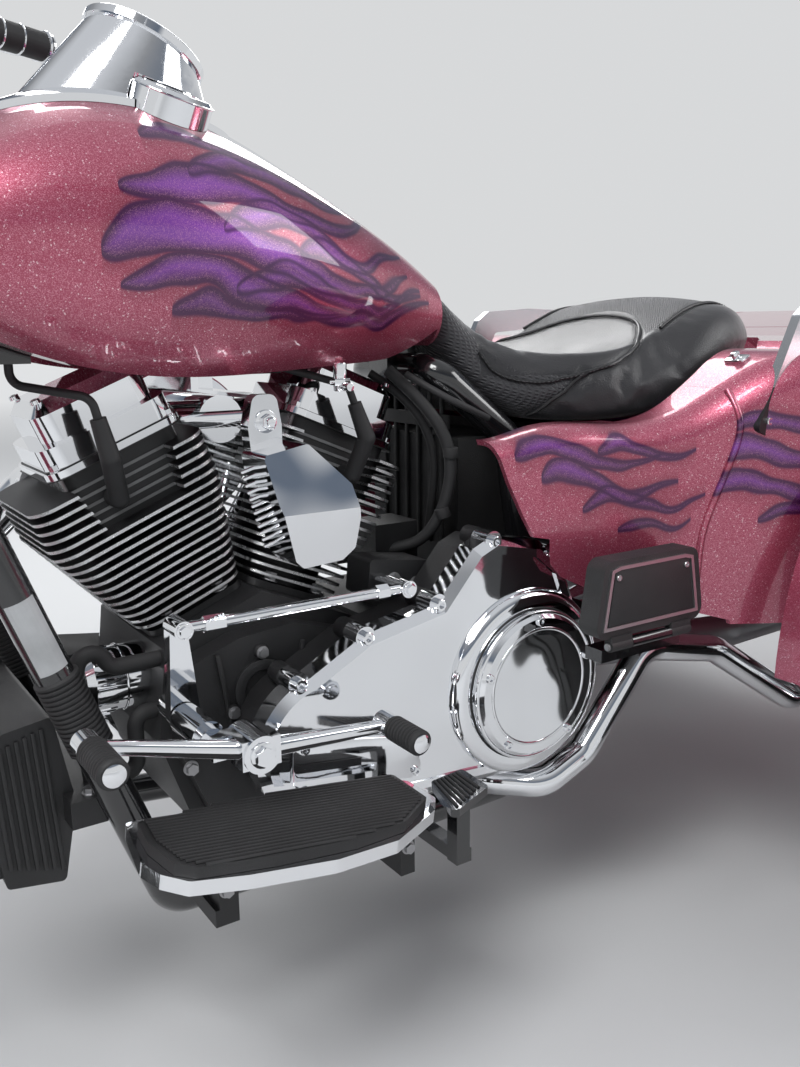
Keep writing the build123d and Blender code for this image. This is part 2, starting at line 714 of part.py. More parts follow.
def body_solid(inset):
    """Side panels and body as one solid from the engine to the tail, its faces moved in by inset."""
    # Columns: x, half width, skirt, top, radius of the shoulder
    front_table = [
        (690, 200, BODY_SKIRT_Z, 611, 22),
        (600, 214, BODY_SKIRT_Z, 611, 28),
        (500, 234, BODY_SKIRT_Z, 611, 32),
        (425, 260, BODY_SKIRT_Z, 622, 36),
        (350, 303, BODY_SKIRT_Z, 668, 42),
        (280, 335, BODY_SKIRT_Z, 690, 44),
        (180, BODY_HALF_W, BODY_SKIRT_Z, 697, 44),
    ]
    rear_table = [
        (180, BODY_HALF_W, BODY_SKIRT_Z, 697, 44),
        (60, BODY_HALF_W, BODY_SKIRT_Z, 702, 44),
        (-350, BODY_HALF_W, BODY_SKIRT_Z, 742, 44),
        (-560, BODY_HALF_W, BODY_SKIRT_Z, 734, 44),
        (inset - BODY_TAIL, 290, 450, 676, 44),
    ]
    front = loft([hull_section(*row, inset) for row in front_table])
    rear = loft([hull_section(*row, inset) for row in rear_table], ruled=True)
    return front + rear


def seat_well(grow):
    """Room for the seat in the body, grown by grow."""
    # Columns: x, height of the well's floor
    floor = [(480, 596), (440, 596), (360, 607), (285, 627), (215, 647), (155, 669), (106, 685), (96, 720)]
    profile = polygon([*floor, (96, 760), (480, 760)])
    plan = polygon(
        [(490, 184), (450, 186), (360, 196), (285, 192), (215, 170), (155, 132), (106, 92), (92, 0)]
        + [(106, -92), (155, -132), (215, -170), (285, -192), (360, -196), (450, -186), (490, -184)]
    )
    if grow:
        profile = offset(profile, grow, kind=Kind.INTERSECTION)
        plan = offset(plan, grow, kind=Kind.INTERSECTION)
    return side_prism(profile, -260, 260) & plan_prism(plan, 560, 800)


def build_body():
    """Hollow rear body with the luggage space and its lid, and the side panels ahead of its seam."""
    outer = body_solid(0)
    inner = body_solid(BODY_WALL)
    well = seat_well(0)
    thick_well = seat_well(BODY_WALL)
    luggage = inner & block(-BODY_TAIL, BULKHEAD_X, -400, 400, BODY_FLOOR_Z + BODY_WALL, 800)
    hollow = inner & block(BULKHEAD_X + BODY_WALL, 500, -400, 400, BODY_FLOOR_Z + BODY_WALL, 800)
    luggage -= thick_well
    hollow -= thick_well
    shell = outer - well - luggage - hollow
    skirt = block(LID_REAR_X, 500, -400, 400, 300, BODY_FLOOR_Z)
    for drop in (0, 2 * BODY_WALL):
        shell = shell - (inner.moved(Location((0, 0, -drop))) & skirt)
    shell = shell - side_prism(polygon([(500, 300), (500, 418), (378, 381), (352, 300)]), -400, 400)
    top_x, low_x = SEAM[-1][0], SEAM[0][0]
    ahead = polygon([(low_x, 300), *SEAM, (top_x, 800), (-BODY_TAIL - 5, 800), (-BODY_TAIL - 5, 300)])
    body = shell & side_prism(ahead, -400, 400)
    hole, lid_box = [
        block(LID_REAR_X - gap, LID_HINGE_X + gap, -LID_HALF_W - gap, LID_HALF_W + gap, 690, 800)
        for gap in (LID_GAP, -LID_GAP)
    ]
    lid = body & lid_box
    body = body - hole
    for y in (150, -210):
        lid += cylinder((LID_HINGE_X, y, LID_HINGE_Z), (LID_HINGE_X, y + 30, LID_HINGE_Z), 5)
        leaf = block(LID_HINGE_X - 34, LID_HINGE_X, y, y + 30, 708, LID_HINGE_Z)
        lid += leaf & outer.moved(Location((0, 0, 5)))
        y_body = y + 30 + TOUCH
        body += cylinder((LID_HINGE_X, y_body, LID_HINGE_Z), (LID_HINGE_X, y_body + 30, LID_HINGE_Z), 5)
        body += block(LID_HINGE_X + 3, LID_HINGE_X + 34, y_body, y_body + 30, 706, LID_HINGE_Z)
    keep("trunk_lid", lid)
    keep("rear_body", body.solids().sort_by(SortBy.VOLUME)[-1])
    return outer, inner


def build_fenders():
    """Rear mudguards with a round crown, open on the outside round the tyre."""
    near, far = BODY_HALF_W + TOUCH, FENDER_OUT_Y
    solid = cylinder((0, near, REAR_TYRE_R), (0, far, REAR_TYRE_R), FENDER_R)
    solid = fillet(solid.edges().sort_by(Axis.Y)[-1], FENDER_CROWN_R)
    inner = cylinder(
        (0, near + FENDER_WALL, REAR_TYRE_R), (0, far - FENDER_WALL, REAR_TYRE_R), FENDER_R - FENDER_WALL
    )
    inner = fillet(inner.edges().sort_by(Axis.Y)[-1], FENDER_CROWN_R - FENDER_WALL)
    arch = cylinder((0, near - 20, REAR_TYRE_R), (0, far + 20, REAR_TYRE_R), FENDER_OPEN_R)
    below = block(-FENDER_R - 5, FENDER_R + 5, near - 5, far + 5, 0, FENDER_LOW_Z)
    fender = solid - inner - arch - below
    keep("rear_fenders", *pair(fender.solids().sort_by(SortBy.VOLUME)[-1]))


def build_side_panels(outer, inner):
    """Flared covers ahead of the seam, and the battery box between them."""
    front = [(680, 640), (666, 611), (648, 558), (632, 522), (607, 475), (584, 450), (520, 418), (450, 397)]
    rear = [(x + TOUCH, z) for x, z in [(SEAM[0][0], 397), *SEAM[1:], (SEAM[-1][0], 700)]]
    outline = polygon([*front, *rear, (680, 700)])
    skin = (outer - inner) & side_prism(outline, PANEL_INNER_Y, 400)
    skin = skin - seat_well(0) - side_prism(primary_outline(-4), PANEL_INNER_Y - 5, PRIMARY_OUT_Y + 10)
    keep("side_panels", *pair(skin.solids().sort_by(SortBy.VOLUME)[-1]))
    box = block(410, 630, -89.7, 89.7, 412, 594) + block(425, 535, -60, 60, 590, 630)
    seat, room = pieces["seat"], frame_room()
    box = box - room - mirrored(room) - seat - seat.moved(Location((0, 0, -TOUCH)))
    keep("battery_box", box.solids().sort_by(SortBy.VOLUME)[-1])


def frame_room():
    """Room that a frame tube takes up, so that brackets sit on it."""
    return pipe(CRADLE_PATH, CRADLE_R + TOUCH, CRADLE_BEND)


def build_chassis():
    """Cradle tubes, and the swing frame with the rear axle."""
    tube = pipe(CRADLE_PATH, CRADLE_R, CRADLE_BEND)
    keep("frame_left", tube)
    keep("frame_right", mirrored(tube))
    hub_y = AXLE_Y - 60
    axle = cylinder((0, 2 - hub_y, REAR_TYRE_R), (0, hub_y - 2, REAR_TYRE_R), 36)
    for side in (1, -1):
        flange_y = side * (hub_y - RUN_CLEAR)
        axle += cylinder((0, side * (hub_y - 18), REAR_TYRE_R), (0, flange_y, REAR_TYRE_R), 62)
    axle += cylinder((0, -58, REAR_TYRE_R), (0, 58, REAR_TYRE_R), 70)
    axle += block(-48, 48, -50, 50, REAR_TYRE_R, BODY_FLOOR_Z - TOUCH)
    arm = pipe([(0, 175, REAR_TYRE_R), (250, 175, 318), (460, 95, 306), (497, 60, 304)], 22, 40)
    swing = axle + arm + mirrored(arm)
    swing += cylinder((497, -87.5, 304), (497, 87.5, 304), 18)
    room = frame_room()
    keep("rear_axle", swing - room - mirrored(room))


def build_exhaust():
    """Two mufflers and the pipes from the heads."""
    y, z, front = MUFFLER_Y, MUFFLER_Z, MUFFLER_FRONT_X
    can = cylinder((front - 60, y, z), (-560, y, z), 42)
    can += cone((front - 60, y, z), (front, y, z), 42, 24)
    can += cylinder((-560, y, z), (-610, y, z), 36)
    keep("mufflers", *pair(can))
    port_y = -84 - TOUCH
    front_pipe = [
        (1045, port_y, 558),
        (1045, -140, 558),
        (1092, -180, 500),
        (1070, -186, 310),
        (1010, -190, 255),
        (800, -205, 255),
        (610, -y, z),
        (front + TOUCH, -y, z),
    ]
    cross_pipe = [
        (652, -236, 240),
        (640, -150, 203),
        (640, 150, 203),
        (590, 200, 203),
        (530, 200, 226),
        (432, 200, 338),
        (330, 222, 322),
        (200, y, z),
        (front + TOUCH, y, z),
    ]
    rear_pipe = [(731, port_y, 558), (731, -140, 558), (708, -184, 500), (690, -196, 310), (640, -236, 244)]
    keep("exhaust_pipes", pipe(front_pipe, 22, 24) + pipe(rear_pipe, 22, 24) + pipe(cross_pipe, 17, 36))


def build_horn():
    """Chrome horn cover hung between the cylinders on the left: two facets that meet on a ridge."""
    outline = polygon(
        [
            (921, 606),
            (874, 614),
            (834, 574),
            (827, 542),
            (829, 511),
            (842, 500),
            (884, 497),
            (893, 505),
            (913, 562),
        ],
        5,
    )
    cover = side_prism(outline, HORN_IN_Y, HORN_OUT_Y)
    ridge = Vector(-37, 0, -102).normalized()
    for tilt in (-HORN_TILT_FORE, HORN_TILT_AFT):
        plane = Plane(origin=(856, HORN_OUT_Y, 552), x_dir=ridge, z_dir=(0, 1, 0))
        cutter = Solid.make_box(400, 400, 90, Plane(origin=(-200, -200, 0)))
        cutter = plane.rotated((tilt, 0, 0)).location * cutter
        cover -= cutter
    cover = cover.solids().sort_by(SortBy.VOLUME)[-1]
    loop = polygon([(884, 603), (916, 600), (919, 630), (913, 659), (889, 659), (884, 630)], 9)
    hanger = side_prism(loop, 134, 150)
    post = block(892, 908, -10, 10, 654.5, 715) - cylinder(SPINE_FRONT, SPINE_REAR, SPINE_R + TOUCH)
    hanger += block(892, 908, -10, 138, 654.5, 658) + post.solids().sort_by(Axis.Z)[0]
    keep("horn_cover", cover + hanger)


def build_intake():
    """Round air cleaner on the right, on its throttle body between the cylinders."""
    shell = cylinder((870, -152, 580), (870, -226, 580), 92)
    shell = chamfer(shell.faces().sort_by(Axis.Y)[0].edges(), 16)
    neck = cylinder((888, 18, 626), (888, -152, 626), 25)
    manifold = cylinder((800, 0, 626), (976, 0, 626), 20)
    for lean in (1, -1):
        reach = FIN_INNER + TOUCH
        beyond = (-reach, 300) if lean > 0 else (-300, reach)
        manifold -= cylinder_plane(lean).location * block(*beyond, -100, 100, 0, 600)
    keep("air_cleaner", shell + neck + manifold)


def build_rider_boards():
    """Rider footboards with their pads, on brackets from the frame tubes."""
    tilt = Location((940, 0, 300), (0, -BOARD_TILT, 0)) * Location((-940, 0, -300))
    tray_outline = [
        (1083, 228),
        (1095, 301),
        (1088, 325),
        (1072, 343),
        (1026, 350),
        (948, 353),
        (881, 341),
        (812, 299),
        (795, 276),
        (797, 228),
    ]
    pad_outline = [
        (1082, 252),
        (1086, 290),
        (1080, 330),
        (1066, 342),
        (1000, 346),
        (925, 343),
        (868, 330),
        (818, 292),
        (817, 232),
        (900, 232),
        (1018, 243),
        (1066, 252),
    ]
    tray = tilt * plan_prism(polygon(tray_outline, 7), 284, 296)
    pad = tilt * plan_prism(polygon(pad_outline, 5), 296 + TOUCH, 306)
    front = block(998, 1020, 112, 262, 212, 228) + block(998, 1016, 240, 262, 212, 300)
    rear = block(812, 828, 104, 130, 170, 210) + block(812, 828, 104, 262, 196, 210)
    rear += block(812, 828, 240, 262, 196, 270)
    board = tray + (front + rear - frame_room())
    keep("footboards", *pair(board))
    keep("footboard_pads", *pair(pad))


def build_shifter():
    """Heel and toe gear lever, its shaft and the rod back to the gearbox."""
    pivot = (976, 366)
    lever = cylinder((pivot[0], 232, pivot[1]), (pivot[0], 276, pivot[1]), 17)
    lever += block(958, 994, 250, 274, 354, 380)
    lever += cone((976, 262, 366), (1116, 262, 404), 9, 6) + cone((976, 262, 366), (840, 262, 356), 9, 6)
    lever += cylinder((1116, 250, 404), (1116, 270, 404), 11)
    lever += cylinder((840, 250, 356), (840, 270, 356), 11)
    shaft = cylinder((1004.5, 132, 372), (1004.5, 236, 372), 11)
    shaft += cylinder((1004.5, 176, 372), (1004.5, 228, 372), 15)
    shaft += block(960, 1010, 236, 250, 358, 380)
    arm = side_prism(polygon([(988, 366), (1018, 366), (1014, 462), (999, 466)], 5), 160, 174)
    rod = cylinder((1006, 178, 458), (764, 178, 458), 5.5) + cylinder((1006, 160, 458), (1006, 188, 458), 9)
    rod += cylinder((764, 172, 458), (764, 186, 458), 9) + cylinder((764, 126 + TOUCH, 458), (764, 180, 458), 7)
    keep("shifter", lever + shaft + arm + rod)
    # Columns: x, z, radius, outer end
    pegs = [
        cylinder((x, 270 + TOUCH, z), (x, end, z), radius)
        for x, z, radius, end in ((1116, 404, 12.5, 326), (840, 356, 12, 318))
    ]
    keep("shifter_pegs", *pegs)


def build_pedals():
    """Parking brake pedal on the left, brake pedal on the right."""
    parking = block(756, 772, 104, 130, 170, 212) + block(756, 772, 104, 280, 198, 212)
    parking += block(758, 774, 264, 280, 198, 284)
    parking += plan_prism(polygon([(799, 271), (757, 265), (759, 310), (818, 334)], 5), 283, 291)
    keep("parking_pedal", parking - frame_room())
    brake = cylinder((1126, -262, 300), (1126, -302, 300), 12)
    brake += cylinder((1126, -282, 300), (1100, -292, 372), 8) + block(1084, 1120, -326, -258, 368, 384)
    brake += block(1060, 1130, -262, -252, 282, 312)
    brake = brake - pieces["footboards"] - pieces["footboard_pads"]
    keep("brake_pedal", brake.solids().sort_by(SortBy.VOLUME)[-1])


def build_passenger_boards():
    """Folding passenger footboards, stored folded up, and their brackets."""
    outline = polygon([(448, 402), (612, 402), (600, 484), (462, 484)], 14)
    board = side_prism(outline, 272, 298)
    for x in (470, 560 + TOUCH):
        board += cylinder((x, BOARD_HINGE_Y, BOARD_HINGE_Z), (x + 30, BOARD_HINGE_Y, BOARD_HINGE_Z), 6)
        board += block(x, x + 30, 290, 300, BOARD_HINGE_Z, 404)
    bracket = block(470, 511.5, 90, 286, 372, 386) + block(470, 590, 262, 286, 372, 386)
    bracket += cylinder((500.5, BOARD_HINGE_Y, BOARD_HINGE_Z), (559.5, BOARD_HINGE_Y, BOARD_HINGE_Z), 6)
    bracket += block(500.5, 559.5, 276, BOARD_HINGE_Y, 380, BOARD_HINGE_Z)
    keep("passenger_board_left", board)
    keep("passenger_board_right", mirrored(board))
    bracket = bracket - frame_room()
    keep("passenger_brackets", *pair(bracket))


def build_regulator():
    """Finned voltage regulator ahead of the frame tubes."""
    case = polygon([(1088, 284), (1103, 206), (1156, 214), (1170, 300), (1150, 365), (1104, 372)], 5)
    base = side_prism(case, -100, 100) + block(1052, 1100, -126, 126, 268, 294)
    for index in range(9):
        y = -88 + index * 22
        base += block(1140, 1184, y - 3, y + 3, 222, 340)
    room = frame_room()
    keep("regulator", base - room - mirrored(room))


def build_leads():
    """Plug leads with their boots, and the oil hoses ahead of the crankcase."""
    # Each lead: straight runs from the plug over the boot's knee and end to the coil
    front = [(1020, 59, 563), (1020, 77, 563), (1032, 97, 604), (1046, 98, 660), (1104, 52, 672)]
    rear = [(764, 59, 563), (764, 77, 563), (757, 97, 604), (776, 92, 660), (846, 60, 682)]
    front.append((1104, 52, COIL_FRONT_Z - TOUCH))
    rear.append((846, COIL_HALF_W + TOUCH, 682))
    solids = []
    for path in (front, rear):
        plug, elbow, knee, end = path[:4]
        collar = tuple(Vector(*knee) * 0.34 + Vector(*end) * 0.66)
        boot = cylinder(plug, elbow, BOOT_R) + Pos(*elbow) * Sphere(BOOT_R) + cylinder(elbow, knee, BOOT_R)
        boot += Pos(*knee) * Sphere(BOOT_R) + cone(knee, collar, BOOT_R, BOOT_R - 2)
        solids.append(boot + pipe(path[2:], LEAD_R, 14))
    upper = [(988, 84, 402), (1042, 84, 402), (1066, 84, 442), (1078, 84, 392), (1068, 84, 294 + TOUCH)]
    lower = [(990, 84, 350), (1022, 84, 350), (1022, 84, 296), (1050, 84, 282)]
    for path in (upper, lower):
        hose = pipe(path, HOSE_R, 14) - pieces["engine_cases"] - pieces["regulator"]
        solids.append(hose.solids().sort_by(SortBy.VOLUME)[-1])
    keep("leads_and_hoses", *solids)


def build_front_lamps():
    """Headlamp nacelle, headlamp, lamp bar with two lamps."""
    fork = pieces["fork"]
    rim_x, lens_x = HEAD_X + 140, HEAD_X + 200
    nacelle = cone((HEAD_X + 84, 0, 900), (rim_x, 0, 900), 84, 112)
    nacelle += cylinder((rim_x, 0, 900), (lens_x, 0, 900), 112)
    nacelle = nacelle - fork - fork.moved(Location((TOUCH, 0, 0)))
    nacelle = nacelle - pieces["handlebar"]
    keep("nacelle", nacelle.solids().sort_by(SortBy.VOLUME)[-1])
    lens = cylinder((lens_x + TOUCH, 0, 900), (lens_x + 22, 0, 900), 90)
    lens = chamfer(lens.faces().sort_by(Axis.X)[-1].edges(), 8)
    keep("headlamp", lens)
    bar_x = HEAD_X + 170
    bar = cylinder((bar_x, -205, 770), (bar_x, 205, 770), 9)
    for side in (1, -1):
        bar += cylinder((rim_x, 205 * side, 770), (lens_x, 205 * side, 770), 57)
    bar += block(bar_x - 26, bar_x, -20, 20, 762, 788 - TOUCH)
    keep("lamp_bar", bar)


def build_mirrors():
    """Mirrors on short stalks from the bar controls."""
    foot, knee, back = HEAD_X - 268, HEAD_X - 280, HEAD_X - 286
    stalk = cylinder((foot, 384, 1114.6), (foot, 384, 1124), 6)
    stalk += cylinder((foot, 384, 1120), (knee, 400, 1196), 6)
    head = cylinder((back + 8, 440, 1222), (back - 10, 440, 1224), 52)
    mirror_left = stalk + cylinder((knee, 400, 1196), (back, 440, 1222), 6) + head
    keep("mirrors", *pair(mirror_left))


def build_controls():
    """Switch housings and levers next to the grips."""
    housing = cylinder((HEAD_X - 254, 377, 1092), (HEAD_X - 285, 386, 1090), 23)
    housing = housing - pieces["handlebar"] - pieces["grips"]
    housing = housing.solids().sort_by(SortBy.VOLUME)[-1]
    keep("bar_controls", *pair(housing))


def build_tail():
    """Tail lamps, plate holder and the passenger's hand rails."""
    lamp = cylinder((-FENDER_R + 110, 520, LAMP_Z), (-FENDER_R + 36, 520, LAMP_Z), 46)
    lamp = chamfer(lamp.faces().sort_by(Axis.X)[0].edges(), 6)
    room = cylinder((0, BODY_HALF_W, REAR_TYRE_R), (0, FENDER_OUT_Y, REAR_TYRE_R), FENDER_R + TOUCH)
    keep("tail_lamps", *pair(lamp - room))
    plate = block(-TAIL_OVERHANG, -BODY_TAIL - TOUCH, -89, 89, 492, 604)
    for y in (-70, 70):
        for z in (513, 583):
            plate -= cylinder((-TAIL_OVERHANG - 2, y, z), (-BODY_TAIL + 2, y, z), 3.25)
    keep("plate_holder", plate)
    rail_outline = [
        (370, 603),
        (306, 728),
        (286, 742),
        (200, 747),
        (36, 741),
        (8, 726),
        (-14, 690),
        (20, 690),
        (42, 709),
        (200, 714),
        (271, 709),
        (338, 587),
    ]
    rail = side_prism(polygon(rail_outline, 7), RAIL_Y, RAIL_Y + RAIL_T) - body_solid(0)
    keep("grab_rail", *pair(rail.solids().sort_by(SortBy.VOLUME)[-1]))


build_front_wheel()
build_rear_wheels()
build_fork()
build_front_fender()
build_bars()
build_backbone()
keep("rocker_boxes", build_cylinder(1, "front"), build_cylinder(-1, "rear"))
build_pushrods()
build_engine()
build_primary()
build_tank()
build_seat()
hull, hull_inside = build_body()
build_fenders()
build_side_panels(hull, hull_inside)
build_chassis()
build_exhaust()
build_horn()
build_intake()
build_rider_boards()
build_shifter()
build_pedals()
build_passenger_boards()
build_regulator()
build_leads()
build_front_lamps()
build_mirrors()
build_controls()
build_tail()

os.makedirs("parts", exist_ok=True)
FRONT_REACH = max(
    shape.bounding_box().max.X for shape in pieces.values()
)
OFFSET_X = -(FRONT_REACH - TAIL_OVERHANG) / 2
print("the rear axle lies at x =", OFFSET_X)
for name, shape in pieces.items():
    export_step(shape.moved(Location((OFFSET_X, 0, 0))), "parts/" + name + ".step")
    print(name, round(shape.volume / 1e6, 3), "litres")
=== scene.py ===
import logging
import math
from dataclasses import dataclass
from enum import Enum

import bmesh
import bpy
from mathutils import Matrix, Vector
from mathutils.bvhtree import BVHTree
from mathutils.kdtree import KDTree


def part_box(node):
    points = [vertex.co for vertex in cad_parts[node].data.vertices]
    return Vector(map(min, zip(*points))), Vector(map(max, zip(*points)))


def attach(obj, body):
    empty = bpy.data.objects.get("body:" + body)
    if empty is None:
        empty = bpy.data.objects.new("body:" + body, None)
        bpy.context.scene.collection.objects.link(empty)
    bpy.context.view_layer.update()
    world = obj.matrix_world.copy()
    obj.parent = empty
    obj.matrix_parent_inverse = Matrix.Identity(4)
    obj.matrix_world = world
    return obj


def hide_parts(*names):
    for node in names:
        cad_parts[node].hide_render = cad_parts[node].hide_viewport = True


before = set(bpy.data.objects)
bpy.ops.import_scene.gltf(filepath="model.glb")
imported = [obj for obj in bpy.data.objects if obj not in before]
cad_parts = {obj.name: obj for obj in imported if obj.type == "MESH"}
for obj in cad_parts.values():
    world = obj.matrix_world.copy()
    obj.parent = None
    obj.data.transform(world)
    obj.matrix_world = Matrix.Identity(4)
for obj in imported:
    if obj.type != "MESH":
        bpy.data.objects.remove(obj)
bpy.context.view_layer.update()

log = logging.getLogger("trike")
logging.basicConfig(level=logging.INFO, format="%(message)s")

# The rear axle's place along the machine; the sizes below are counted from it, in metres
AXLE_X = (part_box("rear_rim_left")[0][0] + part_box("rear_rim_left")[1][0]) / 2

UP = Vector((0, 0, 1))
LEFT = Vector((0, 1, 0))
AHEAD = Vector((1, 0, 0))
SIDES = (1, -1)

# Lean of each cylinder, and the crankshaft's place ahead of the axle and over the floor in millimetres
CYL_TILT = math.radians(22.5)
CRANK_X, CRANK_Z = 888, 309


def at(x: float, y: float, z: float) -> Vector:
    """Turn millimetres counted from the rear axle into metres in the shared frame.

    Args:
        x: Distance ahead of the rear axle.
        y: Distance to the left of the middle.
        z: Height over the floor.

    Returns:
        The point.
    """
    return Vector((x / 1000 + AXLE_X, y / 1000, z / 1000))


def round_spots(centre: Vector, radius: float, count: int, start: float = 0.0) -> list:
    """Spread points evenly on an upright circle that faces the machine's side.

    Args:
        centre: Middle of the circle.
        radius: Its radius in millimetres.
        count: Number of points.
        start: Angle of the first point in radians.

    Returns:
        The points.
    """
    turns = [math.tau * index / count + start for index in range(count)]
    return [centre + Vector((radius * math.cos(turn), 0, radius * math.sin(turn))) / 1000 for turn in turns]


def drawn_line(points: list, steps: int, radius: float = 0.0, sides: int = 0,
               smooth: bool = True) -> bpy.types.Mesh:
    """Draw a line through points as a mesh: a round bar, or a bare row of points where it has no radius.

    Args:
        points: Points of the line in metres.
        steps: Steps from point to point where the line is rounded.
        radius: Radius of the bar in millimetres.
        sides: Resolution of the bar.
        smooth: Whether the line is rounded at its points.

    Returns:
        The mesh.
    """
    curve = bpy.data.curves.new("line", "CURVE")
    curve.dimensions = "3D"
    spline = curve.splines.new("NURBS" if smooth else "POLY")
    spline.points.add(len(points) - 1)
    for place, point in zip(spline.points, points):
        place.co = (*point, 1.0)
    if smooth:
        spline.order_u = 3
        spline.use_endpoint_u = True
    curve.resolution_u = steps
    curve.bevel_depth = radius / 1000
    curve.bevel_resolution = sides
    curve.use_fill_caps = True
    line = bpy.data.objects.new("line", curve)
    mesh = bpy.data.meshes.new_from_object(line)
    bpy.data.objects.remove(line)
    bpy.data.curves.remove(curve)
    return mesh


class Graph:
    """Node graph, with short calls for the nodes that the finishes and the studio use."""

    def __init__(self, tree: bpy.types.NodeTree) -> None:
        """Start on an emptied node tree."""
        self.tree = tree
        self.tree.nodes.clear()

    def add(self, kind: str, **values: object) -> bpy.types.Node:
        """Add a node.

        Args:
            kind: Type name of the node.
            values: Properties to set on it.

        Returns:
            The new node.
        """
        node = self.tree.nodes.new(kind)
        for key, value in values.items():
            setattr(node, key, value)
        return node

    def link(self, start: bpy.types.NodeSocket, end: bpy.types.NodeSocket) -> None:
        """Join an output to an input."""
        self.tree.links.new(start, end)

    def feed(self, socket: bpy.types.NodeSocket, value: object) -> None:
        """Link a socket, or set it to a constant.

        Args:
            socket: Input to fill.
            value: Output socket, number or colour.
        """
        if isinstance(value, bpy.types.NodeSocket):
            self.link(value, socket)
        elif isinstance(value, (tuple, list)):
            size = len(socket.default_value)
            socket.default_value = tuple(value)[:size] + (1.0,) * (size - len(value))
        else:
            socket.default_value = value

    def math(self, operation: str, *values: object, clamp: bool = False) -> bpy.types.NodeSocket:
        """Add a Math node.

        Args:
            operation: Name of the operation.
            values: Its one to three operands.
            clamp: Whether the result stays within 0 and 1.

        Returns:
            The result.
        """
        node = self.add("ShaderNodeMath", operation=operation, use_clamp=clamp)
        for socket, value in zip(node.inputs, values):
            self.feed(socket, value)
        return node.outputs[0]

    def place(self) -> bpy.types.NodeSocket:
        """Return the Object coordinates."""
        return self.add("ShaderNodeTexCoord").outputs["Object"]

    def noise(self, scale: float, detail: float = 2.0, vector: object = None) -> bpy.types.NodeSocket:
        """Add a noise texture.

        Args:
            scale: Scale of the noise.
            detail: Octaves of detail.
            vector: Coordinates, or None for the Object coordinates.

        Returns:
            The noise as a number.
        """
        node = self.add("ShaderNodeTexNoise")
        self.link(vector or self.place(), node.inputs["Vector"])
        node.inputs["Scale"].default_value = scale
        node.inputs["Detail"].default_value = detail
        return node.outputs[0]

    def cells(self, scale: float, feature: str = "F1", output: str = "Distance") -> bpy.types.NodeSocket:
        """Add a Voronoi texture.

        Args:
            scale: Scale of the cells.
            feature: Name of the feature.
            output: Name of the output.

        Returns:
            The chosen output.
        """
        node = self.add("ShaderNodeTexVoronoi", feature=feature)
        self.link(self.place(), node.inputs["Vector"])
        node.inputs["Scale"].default_value = scale
        return node.outputs[output]

    def span(self, value: object, low: float, high: float, to_low: float, to_high: float) -> bpy.types.NodeSocket:
        """Map a number from one range to another, clamped.

        Args:
            value: Number to map.
            low: Start of its range.
            high: End of its range.
            to_low: Start of the new range.
            to_high: End of the new range.

        Returns:
            The mapped number.
        """
        node = self.add("ShaderNodeMapRange", clamp=True)
        for name, number in zip(("Value", "From Min", "From Max", "To Min", "To Max"),
                                (value, low, high, to_low, to_high)):
            self.feed(node.inputs[name], number)
        return node.outputs[0]

    def blend(self, share: object, first: object, second: object) -> bpy.types.NodeSocket:
        """Mix two colours.

        Args:
            share: Share of the second colour.
            first: First colour.
            second: Second colour.

        Returns:
            The mixed colour.
        """
        node = self.add("ShaderNodeMix", data_type="RGBA")
        self.feed(node.inputs[0], share)
        self.feed(node.inputs[6], first)
        self.feed(node.inputs[7], second)
        return node.outputs[2]

    def seen(self) -> bpy.types.NodeSocket:
        """Tell the rays that show the background: those of the camera, metal and glass.

        Returns:
            1 for such a ray, else 0.
        """
        path = self.add("ShaderNodeLightPath")
        shown = self.math("MAXIMUM", path.outputs["Is Camera Ray"], path.outputs["Is Glossy Ray"])
        return self.math("MAXIMUM", shown, path.outputs["Is Transmission Ray"])


class Surface(Graph):
    """Node graph of one material."""

    def __init__(self, name: str) -> None:
        """Start a material with a plain shader.

        Args:
            name: Name of the material.
        """
        self.material = bpy.data.materials.new(name)
        self.material.use_nodes = True
        super().__init__(self.material.node_tree)
        self.shader = self.add("ShaderNodeBsdfPrincipled")
        self.link(self.shader.outputs[0], self.add("ShaderNodeOutputMaterial").inputs["Surface"])

    def bump(self, height: object, distance: float, strength: float = 1.0) -> None:
        """Give the shader a bump.

        Args:
            height: Height as a number.
            distance: Depth of the bump in metres.
            strength: Share of the bump that shows.
        """
        node = self.add("ShaderNodeBump")
        node.inputs["Distance"].default_value = distance
        node.inputs["Strength"].default_value = strength
        self.feed(node.inputs["Height"], height)
        self.link(node.outputs[0], self.shader.inputs["Normal"])

    def set(self, **values: object) -> None:
        """Set inputs of the shader, named with _ for a space."""
        for key, value in values.items():
            self.feed(self.shader.inputs[key.replace("_", " ")], value)


@dataclass(frozen=True)
class Finish:
    """A finish: each kind builds its own material once."""

    name: str

    def material(self) -> bpy.types.Material:
        """Return the material, made on first use."""
        return bpy.data.materials.get(self.name) or self.build()

    def build(self) -> bpy.types.Material:
        """Build the material."""
        raise NotImplementedError


@dataclass(frozen=True)
class Metal(Finish):
    """Bare or plated metal with faint smears."""

    colour: tuple = (0.86, 0.87, 0.89)
    rough: float = 0.045
    smear: float = 0.03
    grain: float = 0.0
    wave: float = 0.0

    def build(self) -> bpy.types.Material:
        """Build the material.

        Returns:
            The material.
        """
        graph = Surface(self.name)
        smear = graph.span(graph.noise(9.0, 4.0), 0.35, 0.75, self.rough, self.rough + self.smear)
        graph.set(Base_Color=self.colour, Metallic=1.0, Roughness=smear)
        if self.grain:
            graph.bump(graph.noise(900.0, 3.0), self.grain)
        if self.wave:
            graph.bump(graph.noise(7.0, 1.0), self.wave)
        return graph.material


